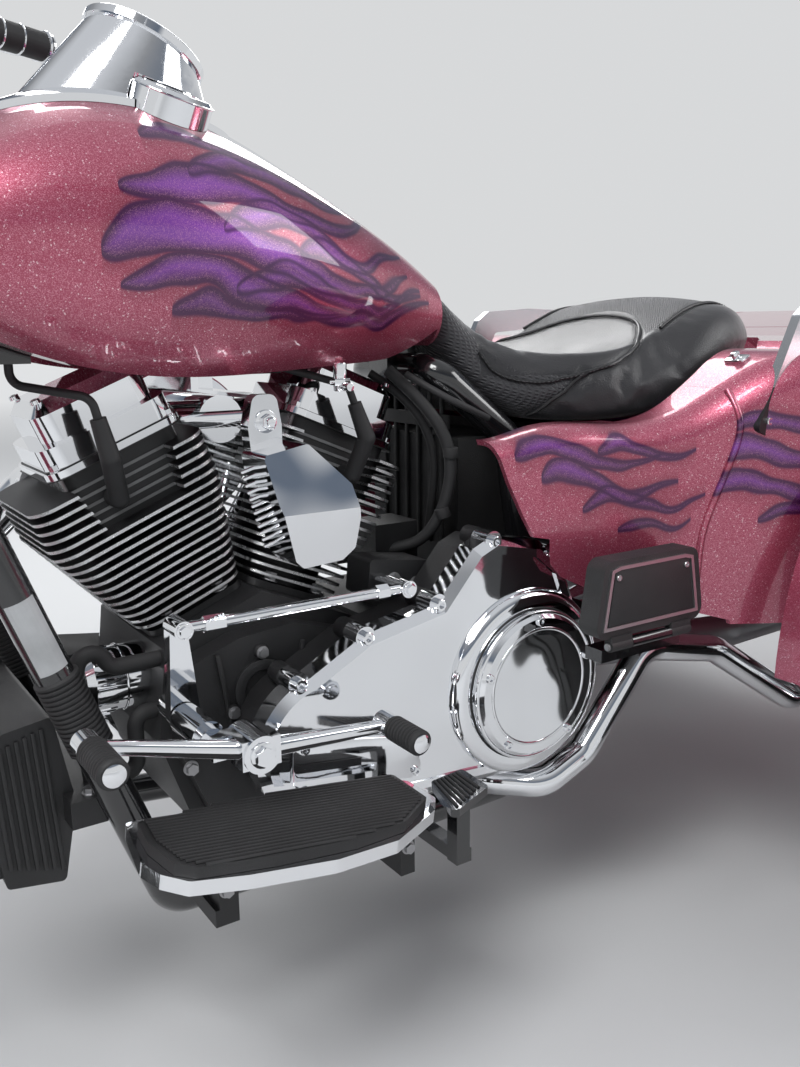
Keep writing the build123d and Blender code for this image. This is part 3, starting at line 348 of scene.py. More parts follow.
@dataclass(frozen=True)
class Coat(Finish):
    """Painted or moulded surface with a fine texture."""

    colour: tuple = (0.012, 0.012, 0.013)
    rough: float = 0.3
    grain: float = 0.0
    grain_scale: float = 700.0
    clear: float = 0.0

    def build(self) -> bpy.types.Material:
        """Build the material.

        Returns:
            The material.
        """
        graph = Surface(self.name)
        worn = graph.span(graph.noise(7.0, 5.0), 0.3, 0.7, self.rough * 0.8, min(1.0, self.rough * 1.25))
        lighter = tuple(min(1.0, part * 1.5 + 0.001) for part in self.colour)
        colour = graph.blend(graph.span(graph.noise(25.0, 4.0), 0.35, 0.8, 0.0, 1.0), self.colour, lighter)
        graph.set(Base_Color=colour, Roughness=worn, Coat_Weight=self.clear, Coat_Roughness=0.04)
        if self.grain:
            graph.bump(graph.cells(self.grain_scale), self.grain)
        return graph.material


@dataclass(frozen=True)
class Flake(Finish):
    """Rose metal-flake paint under clear coat, with hand-painted flame licks where a table asks for them."""

    colour: tuple = (0.40, 0.050, 0.105)
    glint: tuple = (0.95, 0.46, 0.58)
    lick_light: tuple = (0.20, 0.045, 0.36)
    lick_dark: tuple = (0.045, 0.004, 0.062)
    # Near-white colour of sparse flakes: a painted glint on the real flakes.
    flake_painted_glint: tuple = (1.0, 0.80, 0.86)
    flake_scale: float = 2300.0
    flake_painted_glint_scale: float = 1000.0
    licks: tuple = ()

    def lick(self, graph: Graph, x: object, z: object, row: tuple) -> bpy.types.NodeSocket:
        """Work out how far a point lies outside one lick.

        Args:
            graph: Graph of the paint.
            x: Distance ahead of the rear axle in metres.
            z: Height in metres.
            row: The lick's row of the table.

        Returns:
            The distance in metres, below zero inside.
        """
        start, height, length, rise, swing, waves, half = row
        share = graph.span(x, start, start - length, 0.0, 1.0)
        wave = graph.math("SINE", graph.math("MULTIPLY", share, waves * math.tau))
        middle = graph.math("MULTIPLY_ADD", wave, swing, graph.math("MULTIPLY_ADD", share, rise, height))
        head = graph.math("SQRT", graph.span(share, 0.0, 0.18, 0.0, 1.0))
        tip = graph.math("POWER", graph.math("SUBTRACT", 1.0, share, clamp=True), 0.85)
        width = graph.math("MULTIPLY", graph.math("MULTIPLY", head, tip), half)
        away = graph.math("ABSOLUTE", graph.math("SUBTRACT", z, middle))
        outside = graph.math("LESS_THAN", width, 0.0004)
        return graph.math("ADD", graph.math("SUBTRACT", away, width), outside)

    def build(self) -> bpy.types.Material:
        """Build the material.

        Returns:
            The material.
        """
        graph = Surface(self.name)
        split = graph.add("ShaderNodeSeparateColor")
        graph.link(graph.cells(self.flake_scale, output="Color"), split.inputs[0])
        share = graph.span(split.outputs[0], 0.66, 1.0, 0.0, 0.75)
        cloud = graph.span(graph.noise(5.0, 3.0), 0.35, 0.7, 0.0, 1.0)
        base = graph.blend(cloud, tuple(part * 0.86 for part in self.colour), self.colour)
        colour = graph.blend(share, base, self.glint)
        # Sparse flakes turned near-white and more metallic: the flakes are real, and their near-white colour is a
        # painted glint.
        rare = graph.add("ShaderNodeSeparateColor")
        graph.link(graph.cells(self.flake_painted_glint_scale, output="Color"), rare.inputs[0])
        flake_painted_glint_share = graph.span(rare.outputs[1], 0.979, 0.985, 0.0, 0.7)
        colour = graph.blend(flake_painted_glint_share, colour, self.flake_painted_glint)
        metal = graph.span(graph.math("MAXIMUM", share, flake_painted_glint_share), 0.0, 0.75, 0.55, 0.92)
        if self.licks:
            parts = graph.add("ShaderNodeSeparateXYZ")
            graph.link(graph.place(), parts.inputs[0])
            x = graph.math("SUBTRACT", parts.outputs[0], AXLE_X)
            stray = graph.span(graph.noise(16.0, 1.0), 0.2, 0.8, -0.009, 0.009)
            z = graph.math("ADD", parts.outputs[2], stray)
            nearest, rim = None, None
            for row in self.licks:
                gap = self.lick(graph, x, z, row)
                edge = graph.math("ABSOLUTE", gap)
                nearest = gap if nearest is None else graph.math("MINIMUM", nearest, gap)
                rim = edge if rim is None else graph.math("MINIMUM", rim, edge)
            haze = graph.span(nearest, 0.0, 0.016, 0.5, 0.0)
            fill = graph.span(nearest, -0.0015, 0.0015, 0.92, 0.0)
            line = graph.span(rim, 0.0006, 0.0034, 0.85, 0.0)
            tone = graph.blend(graph.span(nearest, -0.013, -0.002, 1.0, 0.0), self.lick_dark, self.lick_light)
            tone = graph.blend(graph.math("MULTIPLY", share, 0.5), tone, self.glint)
            colour = graph.blend(haze, colour, tuple(part * 0.45 for part in self.colour))
            colour = graph.blend(fill, colour, tone)
            colour = graph.blend(line, colour, self.lick_dark)
        graph.set(Base_Color=colour, Metallic=metal, Roughness=0.36, Coat_Weight=1.0, Coat_Roughness=0.03)
        graph.bump(graph.noise(160.0, 2.0), 0.00012)
        return graph.material


@dataclass(frozen=True)
class FinBlack(Finish):
    """Black wrinkle finish with the edges of the fins machined bright."""

    lean: float = 1.0
    core: float = 0.0585
    foot: float = 0.150
    black: tuple = (0.011, 0.011, 0.012)
    bright: tuple = (0.72, 0.73, 0.74)

    def build(self) -> bpy.types.Material:
        """Build the material.

        Returns:
            The material.
        """
        graph = Surface(self.name)
        tilt = CYL_TILT * self.lean
        axis = (math.sin(tilt), 0.0, math.cos(tilt))
        facing = graph.add("ShaderNodeVectorMath", operation="DOT_PRODUCT")
        graph.link(graph.add("ShaderNodeTexCoord").outputs["Normal"], facing.inputs[0])
        facing.inputs[1].default_value = axis
        flat = graph.math("ABSOLUTE", facing.outputs["Value"])
        from_crank = graph.add("ShaderNodeVectorMath", operation="SUBTRACT")
        graph.link(graph.place(), from_crank.inputs[0])
        from_crank.inputs[1].default_value = at(CRANK_X, 0, CRANK_Z)
        across = graph.add("ShaderNodeVectorMath", operation="DOT_PRODUCT")
        graph.link(from_crank.outputs[0], across.inputs[0])
        across.inputs[1].default_value = (axis[2], 0.0, -axis[0])
        along = graph.add("ShaderNodeVectorMath", operation="DOT_PRODUCT")
        graph.link(from_crank.outputs[0], along.inputs[0])
        along.inputs[1].default_value = axis
        split = graph.add("ShaderNodeSeparateXYZ")
        graph.link(from_crank.outputs[0], split.inputs[0])
        wide = graph.math("MAXIMUM", graph.math("ABSOLUTE", across.outputs["Value"]),
                          graph.math("ABSOLUTE", split.outputs[1]))
        share = graph.span(flat, 0.25, 0.4, 1.0, 0.0)
        out = graph.span(wide, self.core, self.core + 0.002, 0.0, 1.0)
        level = graph.span(along.outputs["Value"], self.foot, self.foot + 0.002, 0.0, 1.0)
        share = graph.math("MULTIPLY", graph.math("MULTIPLY", share, out), level)
        worn = graph.span(graph.noise(60.0, 3.0), 0.25, 0.6, 0.65, 1.0)
        share = graph.math("MULTIPLY", share, worn)
        graph.set(Base_Color=graph.blend(share, self.black, self.bright), Metallic=share,
                  Roughness=graph.span(share, 0.0, 1.0, 0.45, 0.26))
        graph.bump(graph.cells(1500.0), 0.0002)
        return graph.material


@dataclass(frozen=True)
class RailSatin(Finish):
    """Plated part that is black below a line."""

    line: float = 0.650
    pivot: float = 0.940
    slope: float = 0.0
    colour: tuple = (0.62, 0.63, 0.65)
    rough: float = 0.2

    def build(self) -> bpy.types.Material:
        """Build the material.

        Returns:
            The material.
        """
        graph = Surface(self.name)
        parts = graph.add("ShaderNodeSeparateXYZ")
        graph.link(graph.place(), parts.inputs[0])
        ahead = graph.math("SUBTRACT", parts.outputs[0], self.pivot + AXLE_X)
        height = graph.math("MULTIPLY_ADD", ahead, -self.slope, parts.outputs[2])
        black = graph.span(height, self.line - 0.001, self.line + 0.001, 1.0, 0.0)
        graph.set(Base_Color=graph.blend(black, self.colour, (0.01, 0.01, 0.011)),
                  Metallic=graph.math("SUBTRACT", 1.0, black),
                  Roughness=graph.span(black, 0.0, 1.0, self.rough, 0.45))
        graph.bump(graph.noise(240.0, 3.0), 0.00006)
        return graph.material


@dataclass(frozen=True)
class SeatVinyl(Finish):
    """Black seat vinyl: fine leather grain, basket weave on the nose and flank, a woven patch at the rear."""

    colour: tuple = (0.019, 0.019, 0.0215)
    strand: float = 0.0042
    grain: float = 620.0

    def build(self) -> bpy.types.Material:
        """Build the material.

        Returns:
            The material.
        """
        graph = Surface(self.name)
        parts = graph.add("ShaderNodeSeparateXYZ")
        graph.link(graph.place(), parts.inputs[0])
        x = graph.math("SUBTRACT", parts.outputs[0], AXLE_X)
        y, z = parts.outputs[1], parts.outputs[2]
        line_x = graph.math("MULTIPLY_ADD", z, -0.937, 0.484 + 0.672 * 0.937)
        ahead = graph.span(graph.math("SUBTRACT", x, line_x), 0.0, 0.001, 0.0, 1.0)
        low = graph.span(z, 0.6625, 0.6635, 1.0, 0.0)
        nose = graph.span(x, 0.5925, 0.5935, 0.0, 1.0)
        weave = graph.math("MAXIMUM", nose, graph.math("MULTIPLY", ahead, low))
        square = graph.math("MULTIPLY", y, y)
        front = graph.span(graph.math("MULTIPLY_ADD", square, -4.2, x), 0.302, 0.303, 1.0, 0.0)
        back = graph.span(x, 0.1465, 0.1475, 0.0, 1.0)
        inward = graph.math("SUBTRACT", 0.3, x)
        edge = graph.math("MULTIPLY_ADD", graph.math("MULTIPLY", inward, inward), 2.2, graph.math("ABSOLUTE", y))
        patch = graph.math("MULTIPLY", graph.math("MULTIPLY", front, back),
                           graph.span(edge, 0.1275, 0.1285, 1.0, 0.0))
        pitch = math.tau / self.strand
        slant = graph.math("MULTIPLY_ADD", y, 0.6, x)
        first = graph.math("SINE", graph.math("MULTIPLY", slant, pitch))
        second = graph.math("SINE", graph.math("MULTIPLY", graph.math("MULTIPLY_ADD", y, 0.5, z), pitch))
        basket = graph.math("MAXIMUM", first, second)
        cross = graph.math("MULTIPLY", graph.math("SINE", graph.math("MULTIPLY", x, pitch * 1.3)),
                           graph.math("SINE", graph.math("MULTIPLY", y, pitch * 1.3)))
        grain = graph.math("MULTIPLY", graph.cells(self.grain), 0.7)
        height = graph.blend(weave, grain, basket)
        height = graph.blend(patch, height, cross)
        worn = graph.span(graph.noise(11.0, 4.0), 0.3, 0.75, 0.3, 0.43)
        rough = graph.math("MULTIPLY_ADD", graph.math("MAXIMUM", weave, patch), 0.14, worn)
        lighter = tuple(part * 1.7 for part in self.colour)
        graph.set(Base_Color=graph.blend(graph.math("MAXIMUM", weave, patch), self.colour, lighter),
                  Roughness=rough, Sheen_Weight=0.3, Sheen_Roughness=0.4)
        graph.bump(height, 0.00045, 0.9)
        return graph.material


@dataclass(frozen=True)
class Lens(Finish):
    """Moulded lens."""

    colour: tuple = (0.9, 0.93, 0.95)
    through: float = 0.7

    def build(self) -> bpy.types.Material:
        """Build the material.

        Returns:
            The material.
        """
        graph = Surface(self.name)
        graph.set(Base_Color=self.colour, Roughness=0.08, Transmission_Weight=self.through, IOR=1.5)
        graph.bump(graph.cells(90.0), 0.0006)
        return graph.material


# Rows of licks: start x and z, length towards the rear, rise, swing, number of waves, half width
TANK_LICKS = (
    (1.050, 0.790, 0.35, -0.022, 0.019, 1.0, 0.025),
    (1.030, 0.826, 0.30, 0.002, 0.016, 1.0, 0.019),
    (1.035, 0.758, 0.37, -0.030, 0.015, 1.2, 0.018),
    (0.965, 0.852, 0.22, -0.004, 0.013, 1.0, 0.013),
    (0.940, 0.808, 0.24, -0.022, 0.014, 1.1, 0.014),
    (0.930, 0.757, 0.25, -0.014, 0.012, 1.2, 0.013),
    (0.860, 0.784, 0.18, -0.034, 0.011, 1.0, 0.011),
    (0.990, 0.734, 0.20, -0.002, 0.008, 1.0, 0.009),
    (1.000, 0.880, 0.16, -0.008, 0.008, 1.0, 0.008),
)
PANEL_LICKS = (
    (0.640, 0.584, 0.18, -0.004, 0.010, 1.0, 0.014),
    (0.610, 0.560, 0.17, -0.018, 0.013, 1.1, 0.014),
    (0.560, 0.530, 0.15, 0.000, 0.011, 1.1, 0.010),
    (0.540, 0.588, 0.12, -0.006, 0.008, 1.0, 0.009),
    (0.515, 0.496, 0.09, 0.008, 0.006, 1.0, 0.007),
)
BODY_LICKS = (
    (0.440, 0.560, 0.25, 0.022, 0.015, 1.1, 0.016),
    (0.430, 0.532, 0.28, -0.006, 0.014, 1.3, 0.013),
    (0.390, 0.600, 0.21, 0.006, 0.012, 1.0, 0.011),
    (0.360, 0.502, 0.19, 0.006, 0.010, 1.2, 0.009),
    (0.270, 0.566, 0.21, 0.008, 0.012, 1.3, 0.011),
)


class Palette(Enum):
    """The finishes of this machine."""

    PAINT = Flake("body_paint_flake")
    TANK_PAINT = Flake("tank_paint_flames", licks=TANK_LICKS)
    PANEL_PAINT = Flake("panel_paint_flames", licks=PANEL_LICKS)
    BODY_PAINT = Flake("rear_body_paint_flames", licks=BODY_LICKS)
    CHROME = Metal("chrome_plate", wave=0.0022)
    DOMED = Metal("domed_cover_chrome", wave=0.011)
    ALLOY = Metal("cast_alloy", (0.55, 0.56, 0.57), 0.32, 0.1, 0.0002)
    STEEL = Metal("axle_steel", (0.36, 0.36, 0.37), 0.38, 0.12, 0.0001)
    DISC = Metal("brake_disc_steel", (0.48, 0.48, 0.49), 0.24, 0.1, 0.00006)
    RAIL = RailSatin("rail_satin")
    TRAY = RailSatin("tray_chrome", line=0.2745, slope=0.1405, colour=(0.86, 0.87, 0.89), rough=0.05)
    # Battery cover: its own black, made darker than the other black parts as painted shade for the shaded hollow
    # under the seat.
    COVER_PAINTED_SHADE = Coat("battery_cover_black_painted_shade", (0.004, 0.004, 0.0045), 0.6, 0.0003, 1100.0)
    FIN_FRONT = FinBlack("front_fins_black", 1.0)
    FIN_REAR = FinBlack("rear_fins_black", -1.0)
    ENGINE = Coat("engine_wrinkle_black", (0.012, 0.012, 0.013), 0.42, 0.00025, 1500.0)
    FRAME = Coat("frame_gloss_black", (0.006, 0.006, 0.007), 0.18, 0.00003, 300.0, 1.0)
    RUBBER = Coat("moulded_rubber", (0.016, 0.016, 0.017), 0.62, 0.00012, 900.0)
    TYRE = Coat("tyre_rubber", (0.018, 0.018, 0.018), 0.72, 0.0002, 500.0)
    PLASTIC = Coat("grained_plastic", (0.02, 0.02, 0.021), 0.5, 0.0003, 1100.0)
    SEAT = SeatVinyl("seat_vinyl")
    PIPING = Coat("piping_vinyl", (0.013, 0.013, 0.014), 0.34, 0.00008, 900.0)
    THREAD = Coat("seam_thread", (0.05, 0.05, 0.053), 0.6, 0.0001, 1500.0)
    LABEL = Coat("blank_label", (0.33, 0.34, 0.35), 0.4, 0.00004, 500.0)
    DIAL = Coat("dial_face", (0.62, 0.63, 0.62), 0.4, 0.00002, 500.0)
    INK = Coat("dial_ink", (0.012, 0.012, 0.012), 0.4, 0.00002, 500.0)
    AMBER = Lens("amber_lens", (0.85, 0.28, 0.02), 0.3)
    CLEAR = Lens("clear_lens")
    GLASS = Metal("mirror_glass", (0.80, 0.82, 0.85), 0.02, 0.01)
    RED = Lens("red_lens", (0.5, 0.01, 0.012), 0.25)


NODE_FINISH = {
    Palette.PAINT: ["front_fender", "trunk_lid", "rear_fenders"],
    Palette.TANK_PAINT: ["fuel_tank"],
    Palette.PANEL_PAINT: ["side_panels"],
    Palette.BODY_PAINT: ["rear_body"],
    Palette.CHROME: ["front_rim", "rear_rim_left", "rear_rim_right", "fork", "handlebar", "mirrors", "nacelle",
                     "lamp_bar", "rocker_boxes", "timing_cover", "filler_cap",
                     "dash_console", "mufflers", "exhaust_pipes", "air_cleaner",
                     "shifter", "pushrod_tubes", "oil_filter"],
    Palette.DOMED: ["primary_cover", "clutch_cover", "horn_cover"],
    Palette.RAIL: ["grab_rail"],
    Palette.TRAY: ["footboards"],
    Palette.COVER_PAINTED_SHADE: ["battery_box"],
    Palette.FIN_FRONT: ["cylinder_front"],
    Palette.FIN_REAR: ["cylinder_rear"],
    Palette.ENGINE: ["engine_cases", "gearbox", "regulator", "primary_housing", "starter"],
    Palette.FRAME: ["frame_backbone", "frame_left", "frame_right", "bar_controls", "passenger_brackets",
                    "parking_pedal", "brake_pedal", "plate_holder", "calipers"],
    Palette.RUBBER: ["grips", "footboard_pads", "shifter_pegs", "leads_and_hoses"],
    Palette.TYRE: ["front_tyre", "rear_tyre_left", "rear_tyre_right"],
    Palette.PLASTIC: ["passenger_board_left", "passenger_board_right"],
    Palette.STEEL: ["rear_axle"],
    Palette.SEAT: ["seat"],
    Palette.CLEAR: ["headlamp"],
    Palette.RED: ["tail_lamps"],
}


class Piece:
    """One new mesh in the making, shaped with mesh operators."""

    def __init__(self, name: str, finish: Palette, body: str = "chassis") -> None:
        """Start an empty piece.

        Args:
            name: Name of the piece.
            finish: Its finish.
            body: Body that it moves with.
        """
        self.name, self.finish, self.body = name, finish, body
        self.work = bmesh.new()

    def _aim(self, centre: Vector, axis: Vector) -> Matrix:
        """Return the matrix that stands a shape's Z along an axis at a point."""
        return Matrix.Translation(centre) @ axis.to_track_quat("Z", "Y").to_matrix().to_4x4()

    def _soften(self, edges: list, size: float) -> None:
        """Bevel edges by a size in millimetres."""
        bmesh.ops.bevel(self.work, geom=edges, offset=size / 1000, offset_type="OFFSET", segments=2, profile=0.5,
                        affect="EDGES", material=-1, clamp_overlap=True)

    def rod(self, start: Vector, end: Vector, radius: float, end_radius: float = -1.0, sides: int = 24,
            soft: float = 0.0) -> None:
        """Add a round or many-sided bar.

        Args:
            start: Middle of its first end.
            end: Middle of its other end.
            radius: Radius in millimetres.
            end_radius: Radius of the other end, or -1 for the same.
            sides: Number of sides.
            soft: Bevel on both end rims in millimetres.
        """
        far = radius if end_radius < 0 else end_radius
        line = end - start
        made = bmesh.ops.create_cone(self.work, cap_ends=True, segments=sides, radius1=radius / 1000,
                                     radius2=far / 1000, depth=line.length,
                                     matrix=self._aim((start + end) / 2, line))
        if soft:
            verts = set(made["verts"])
            edges = [edge for edge in self.work.edges if edge.verts[0] in verts and len(edge.link_faces) == 2
                     and any(len(face.verts) == sides and sides > 4 for face in edge.link_faces)]
            self._soften(edges, soft)

    def box(self, centre: Vector, size: tuple, axis: Vector = UP, soft: float = 0.6) -> None:
        """Add a block with soft edges.

        Args:
            centre: Its middle.
            size: Its three sizes in millimetres, the last along the axis.
            axis: Direction of its third size.
            soft: Bevel in millimetres.
        """
        scale = Matrix.Diagonal((size[0] / 1000, size[1] / 1000, size[2] / 1000, 1.0))
        made = bmesh.ops.create_cube(self.work, size=1.0, matrix=self._aim(centre, axis) @ scale)
        verts = set(made["verts"])
        if soft:
            self._soften([edge for edge in self.work.edges if edge.verts[0] in verts], soft)

    def ring(self, centre: Vector, axis: Vector, radius: float, thick: float, sides: int = 64,
             tube_sides: int = 10) -> None:
        """Add a round ring.

        Args:
            centre: Its middle.
            axis: Its axis.
            radius: Radius of its middle line in millimetres.
            thick: Radius of its bar in millimetres.
            sides: Steps round the ring.
            tube_sides: Steps round the bar.
        """
        frame_of = self._aim(centre, axis)
        start = frame_of @ Matrix.Translation((radius / 1000, 0, 0)) @ Matrix.Rotation(math.pi / 2, 4, "X")
        made = bmesh.ops.create_circle(self.work, cap_ends=False, segments=tube_sides, radius=thick / 1000,
                                       matrix=start)
        self._turn(made["verts"], centre, axis, sides)

    def lathe(self, profile: list, centre: Vector, axis: Vector, sides: int = 64) -> None:
        """Turn a closed outline about an axis.

        Args:
            profile: Rows of radius and height along the axis in millimetres.
            centre: Foot of the axis.
            axis: The axis.
            sides: Steps round it.
        """
        frame_of = self._aim(centre, axis)
        verts = [self.work.verts.new(frame_of @ Vector((r / 1000, 0, h / 1000))) for r, h in profile]
        for one, two in zip(verts, verts[1:] + verts[:1]):
            self.work.edges.new((one, two))
        self._turn(verts, centre, axis, sides)

    def _turn(self, verts: list, centre: Vector, axis: Vector, sides: int) -> None:
        """Spin a closed outline round an axis.

        Args:
            verts: Verts of the outline.
            centre: Point on the axis.
            axis: The axis.
            sides: Steps round it.
        """
        chosen = set(verts)
        edges = [edge for edge in self.work.edges if edge.verts[0] in chosen and edge.verts[1] in chosen]
        bmesh.ops.spin(self.work, geom=list(verts) + edges, cent=centre, axis=axis.normalized(), dvec=(0, 0, 0),
                       angle=math.tau, steps=sides, use_merge=True, use_duplicate=False)

    def plate(self, outline: list, depth: Vector, soft: float = 0.5) -> None:
        """Add a flat plate with soft edges.

        Args:
            outline: Corners in metres.
            depth: Its thickness as a vector in metres.
            soft: Bevel in millimetres.
        """
        face = self.work.faces.new([self.work.verts.new(corner) for corner in outline])
        made = bmesh.ops.extrude_face_region(self.work, geom=[face], use_keep_orig=True)["geom"]
        verts = [item for item in made if isinstance(item, bmesh.types.BMVert)]
        bmesh.ops.translate(self.work, verts=verts, vec=depth)
        if soft:
            chosen = set(verts)
            self._soften([edge for edge in self.work.edges
                          if edge.verts[0] in chosen and edge.verts[1] in chosen], soft)

    def frame_strip(self, outline: list, width: float, depth: Vector) -> None:
        """Add a raised strip that follows a closed outline.

        Args:
            outline: Corners in metres.
            width: Width of the strip in millimetres.
            depth: Its height as a vector in metres.
        """
        face = self.work.faces.new([self.work.verts.new(corner) for corner in outline])
        face.normal_update()
        rim = bmesh.ops.inset_region(self.work, faces=[face], thickness=width / 1000, use_boundary=True,
                                     use_even_offset=True)["faces"]
        bmesh.ops.delete(self.work, geom=[face], context="FACES_ONLY")
        made = bmesh.ops.extrude_face_region(self.work, geom=rim, use_keep_orig=True)["geom"]
        bmesh.ops.translate(self.work, verts=[item for item in made if isinstance(item, bmesh.types.BMVert)],
                            vec=depth)

    def tube(self, points: list, radius: float, sides: int = 3, smooth: bool = True) -> None:
        """Add a round bar along a line.

        Args:
            points: Points of the line in metres.
            radius: Its radius in millimetres.
            sides: Resolution of its bar.
            smooth: Whether the line is rounded at its points.
        """
        mesh = drawn_line(points, 6, radius, sides, smooth)
        self.work.from_mesh(mesh)
        bpy.data.meshes.remove(mesh)

    def bolt(self, centre: Vector, axis: Vector, radius: float = 5.0, height: float = 4.0) -> None:
        """Add a hexagon head on its washer.

        Args:
            centre: Its seat.
            axis: Direction that it points out.
            radius: Radius of the head in millimetres.
            height: Height of the head in millimetres.
        """
        way = axis.normalized()
        self.rod(centre - way * 0.0004, centre + way * 0.0012, radius * 1.3, sides=20, soft=0.3)
        self.rod(centre + way * 0.001, centre + way * (height / 1000 + 0.001), radius, sides=6)

    def screw(self, centre: Vector, axis: Vector, radius: float = 5.0, height: float = 3.5) -> None:
        """Add a round cap head with a socket.

        Args:
            centre: Its seat.
            axis: Direction that it points out.
            radius: Radius of the head in millimetres.
            height: Height of the head in millimetres.
        """
        inner, low = radius * 0.5, height * 0.45
        self.lathe([(inner, low), (inner, height), (radius * 0.85, height), (radius, height - 0.8),
                    (radius, -0.4), (0.02, -0.4), (0.02, low)], centre, axis, 18)

    def finish_up(self, sharp: float = 38.0) -> bpy.types.Object:
        """Turn the work into an object in its place.

        Args:
            sharp: Angle in degrees past which an edge stays sharp.

        Returns:
            The object.
        """
        bmesh.ops.recalc_face_normals(self.work, faces=self.work.faces)
        for face in self.work.faces:
            face.smooth = True
        mesh = bpy.data.meshes.new(self.name)
        self.work.to_mesh(mesh)
        self.work.free()
        mesh.set_sharp_from_angle(angle=math.radians(sharp))
        mesh.materials.append(self.finish.value.material())
        made = bpy.data.objects.new(self.name, mesh)
        bpy.context.collection.objects.link(made)
        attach(made, self.body)
        log.info("%s: %d faces, %s", self.name, len(mesh.polygons), self.finish.value.name)
        return made


@dataclass
class Tyre:
    """A tyre with grooves and blocks on its tread and ribs on its wall, in place of its plain solid."""

    node: str
    body: str
    x: float
    y: float
    radius: float
    rim: float
    half: float
    steps: int = 120
    groove: float = 7.0
    tread: float = 0.62
    crown: float = 3.0

    def build(self) -> None:
        """Make the tyre."""
        piece = Piece(self.node + "_tread", Palette.TYRE, self.body)
        foot = self.radius - self.groove
        wall = foot - self.rim
        wide = self.half * self.tread
        columns = [share / 5 for share in range(-5, 6)]
        tread = [(foot - self.crown * share * share, wide * share) for share in columns]
        side = [(self.rim + 0.80 * wall, self.half * 0.93), (self.rim + 0.62 * wall, self.half),
                (self.rim + 0.60 * wall, self.half * 0.97), (self.rim + 26, self.half * 0.93),
                (self.rim + 12, self.half * 0.80), (self.rim + 3, self.half * 0.64)]
        profile = tread + side + [(r, -h) for r, h in reversed(side)]
        centre = at(self.x, self.y, self.radius)
        piece.lathe(profile, centre, LEFT, self.steps)
        blocks = []
        for face in piece.work.faces:
            middle = face.calc_center_median() - centre
            across = middle.y * 1000
            out = math.hypot(middle.x, middle.z) * 1000
            if out < foot - self.crown - 1.5 or abs(across) > wide:
                continue
            column = int((across / wide + 1) * 5)
            step = int((math.atan2(middle.z, middle.x) / math.tau + 0.5) * self.steps)
            late = step + (2 if across > 0 else 0)
            gap = column in (3, 6) or (column in (0, 1, 8, 9) and late % 5 == 0)
            if not gap and not (column in (2, 7) and late % 10 == 4):
                blocks.append(face)
        made = bmesh.ops.extrude_face_region(piece.work, geom=blocks)["geom"]
        for vert in {item for item in made if isinstance(item, bmesh.types.BMVert)}:
            way = Vector((vert.co.x - centre.x, 0, vert.co.z - centre.z)).normalized()
            vert.co += way * (self.groove - 0.3) / 1000
        bmesh.ops.delete(piece.work, geom=blocks, context="FACES_ONLY")
        for share in (0.45, 0.75):
            for side in SIDES:
                piece.ring(at(self.x, self.y + side * (self.half - 3.0), self.radius), LEFT,
                           self.rim + share * wall, 2.0, 96, 6)
        made = piece.finish_up()
        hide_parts(self.node)


@dataclass
class WheelTrim:
    """Nuts, hub caps and a valve on a wheel."""

    body: str
    x: float
    radius: float
    faces: tuple
    nuts: int
    nut_r: float
    cap_r: float
    rim: float

    def build(self) -> None:
        """Make the trim; each row of faces is a hub face's distance to the left and the way that it looks."""
        piece = Piece(self.body + "_hub_trim", Palette.CHROME, self.body)
        for y, way in self.faces:
            axis, centre = LEFT * way, at(self.x, y, self.radius)
            piece.lathe([(0.02, -1), (self.cap_r, -1), (self.cap_r, 6), (self.cap_r * 0.82, 11), (0.02, 14)],
                        centre, axis, 48)
            for spot in round_spots(centre, self.nut_r, self.nuts, 0.3):
                piece.bolt(spot, axis, 7.0, 8.0)
        piece.finish_up()
        valve = Piece(self.body + "_valve", Palette.RUBBER, self.body)
        face, way = self.faces[0]
        y = face * 0.25 if abs(face) < 100 else face - way * 30
        low = self.radius - self.rim
        valve.rod(at(self.x, y, low + 24), at(self.x, y, low + 56), 3.2, 2.4)
        valve.finish_up()


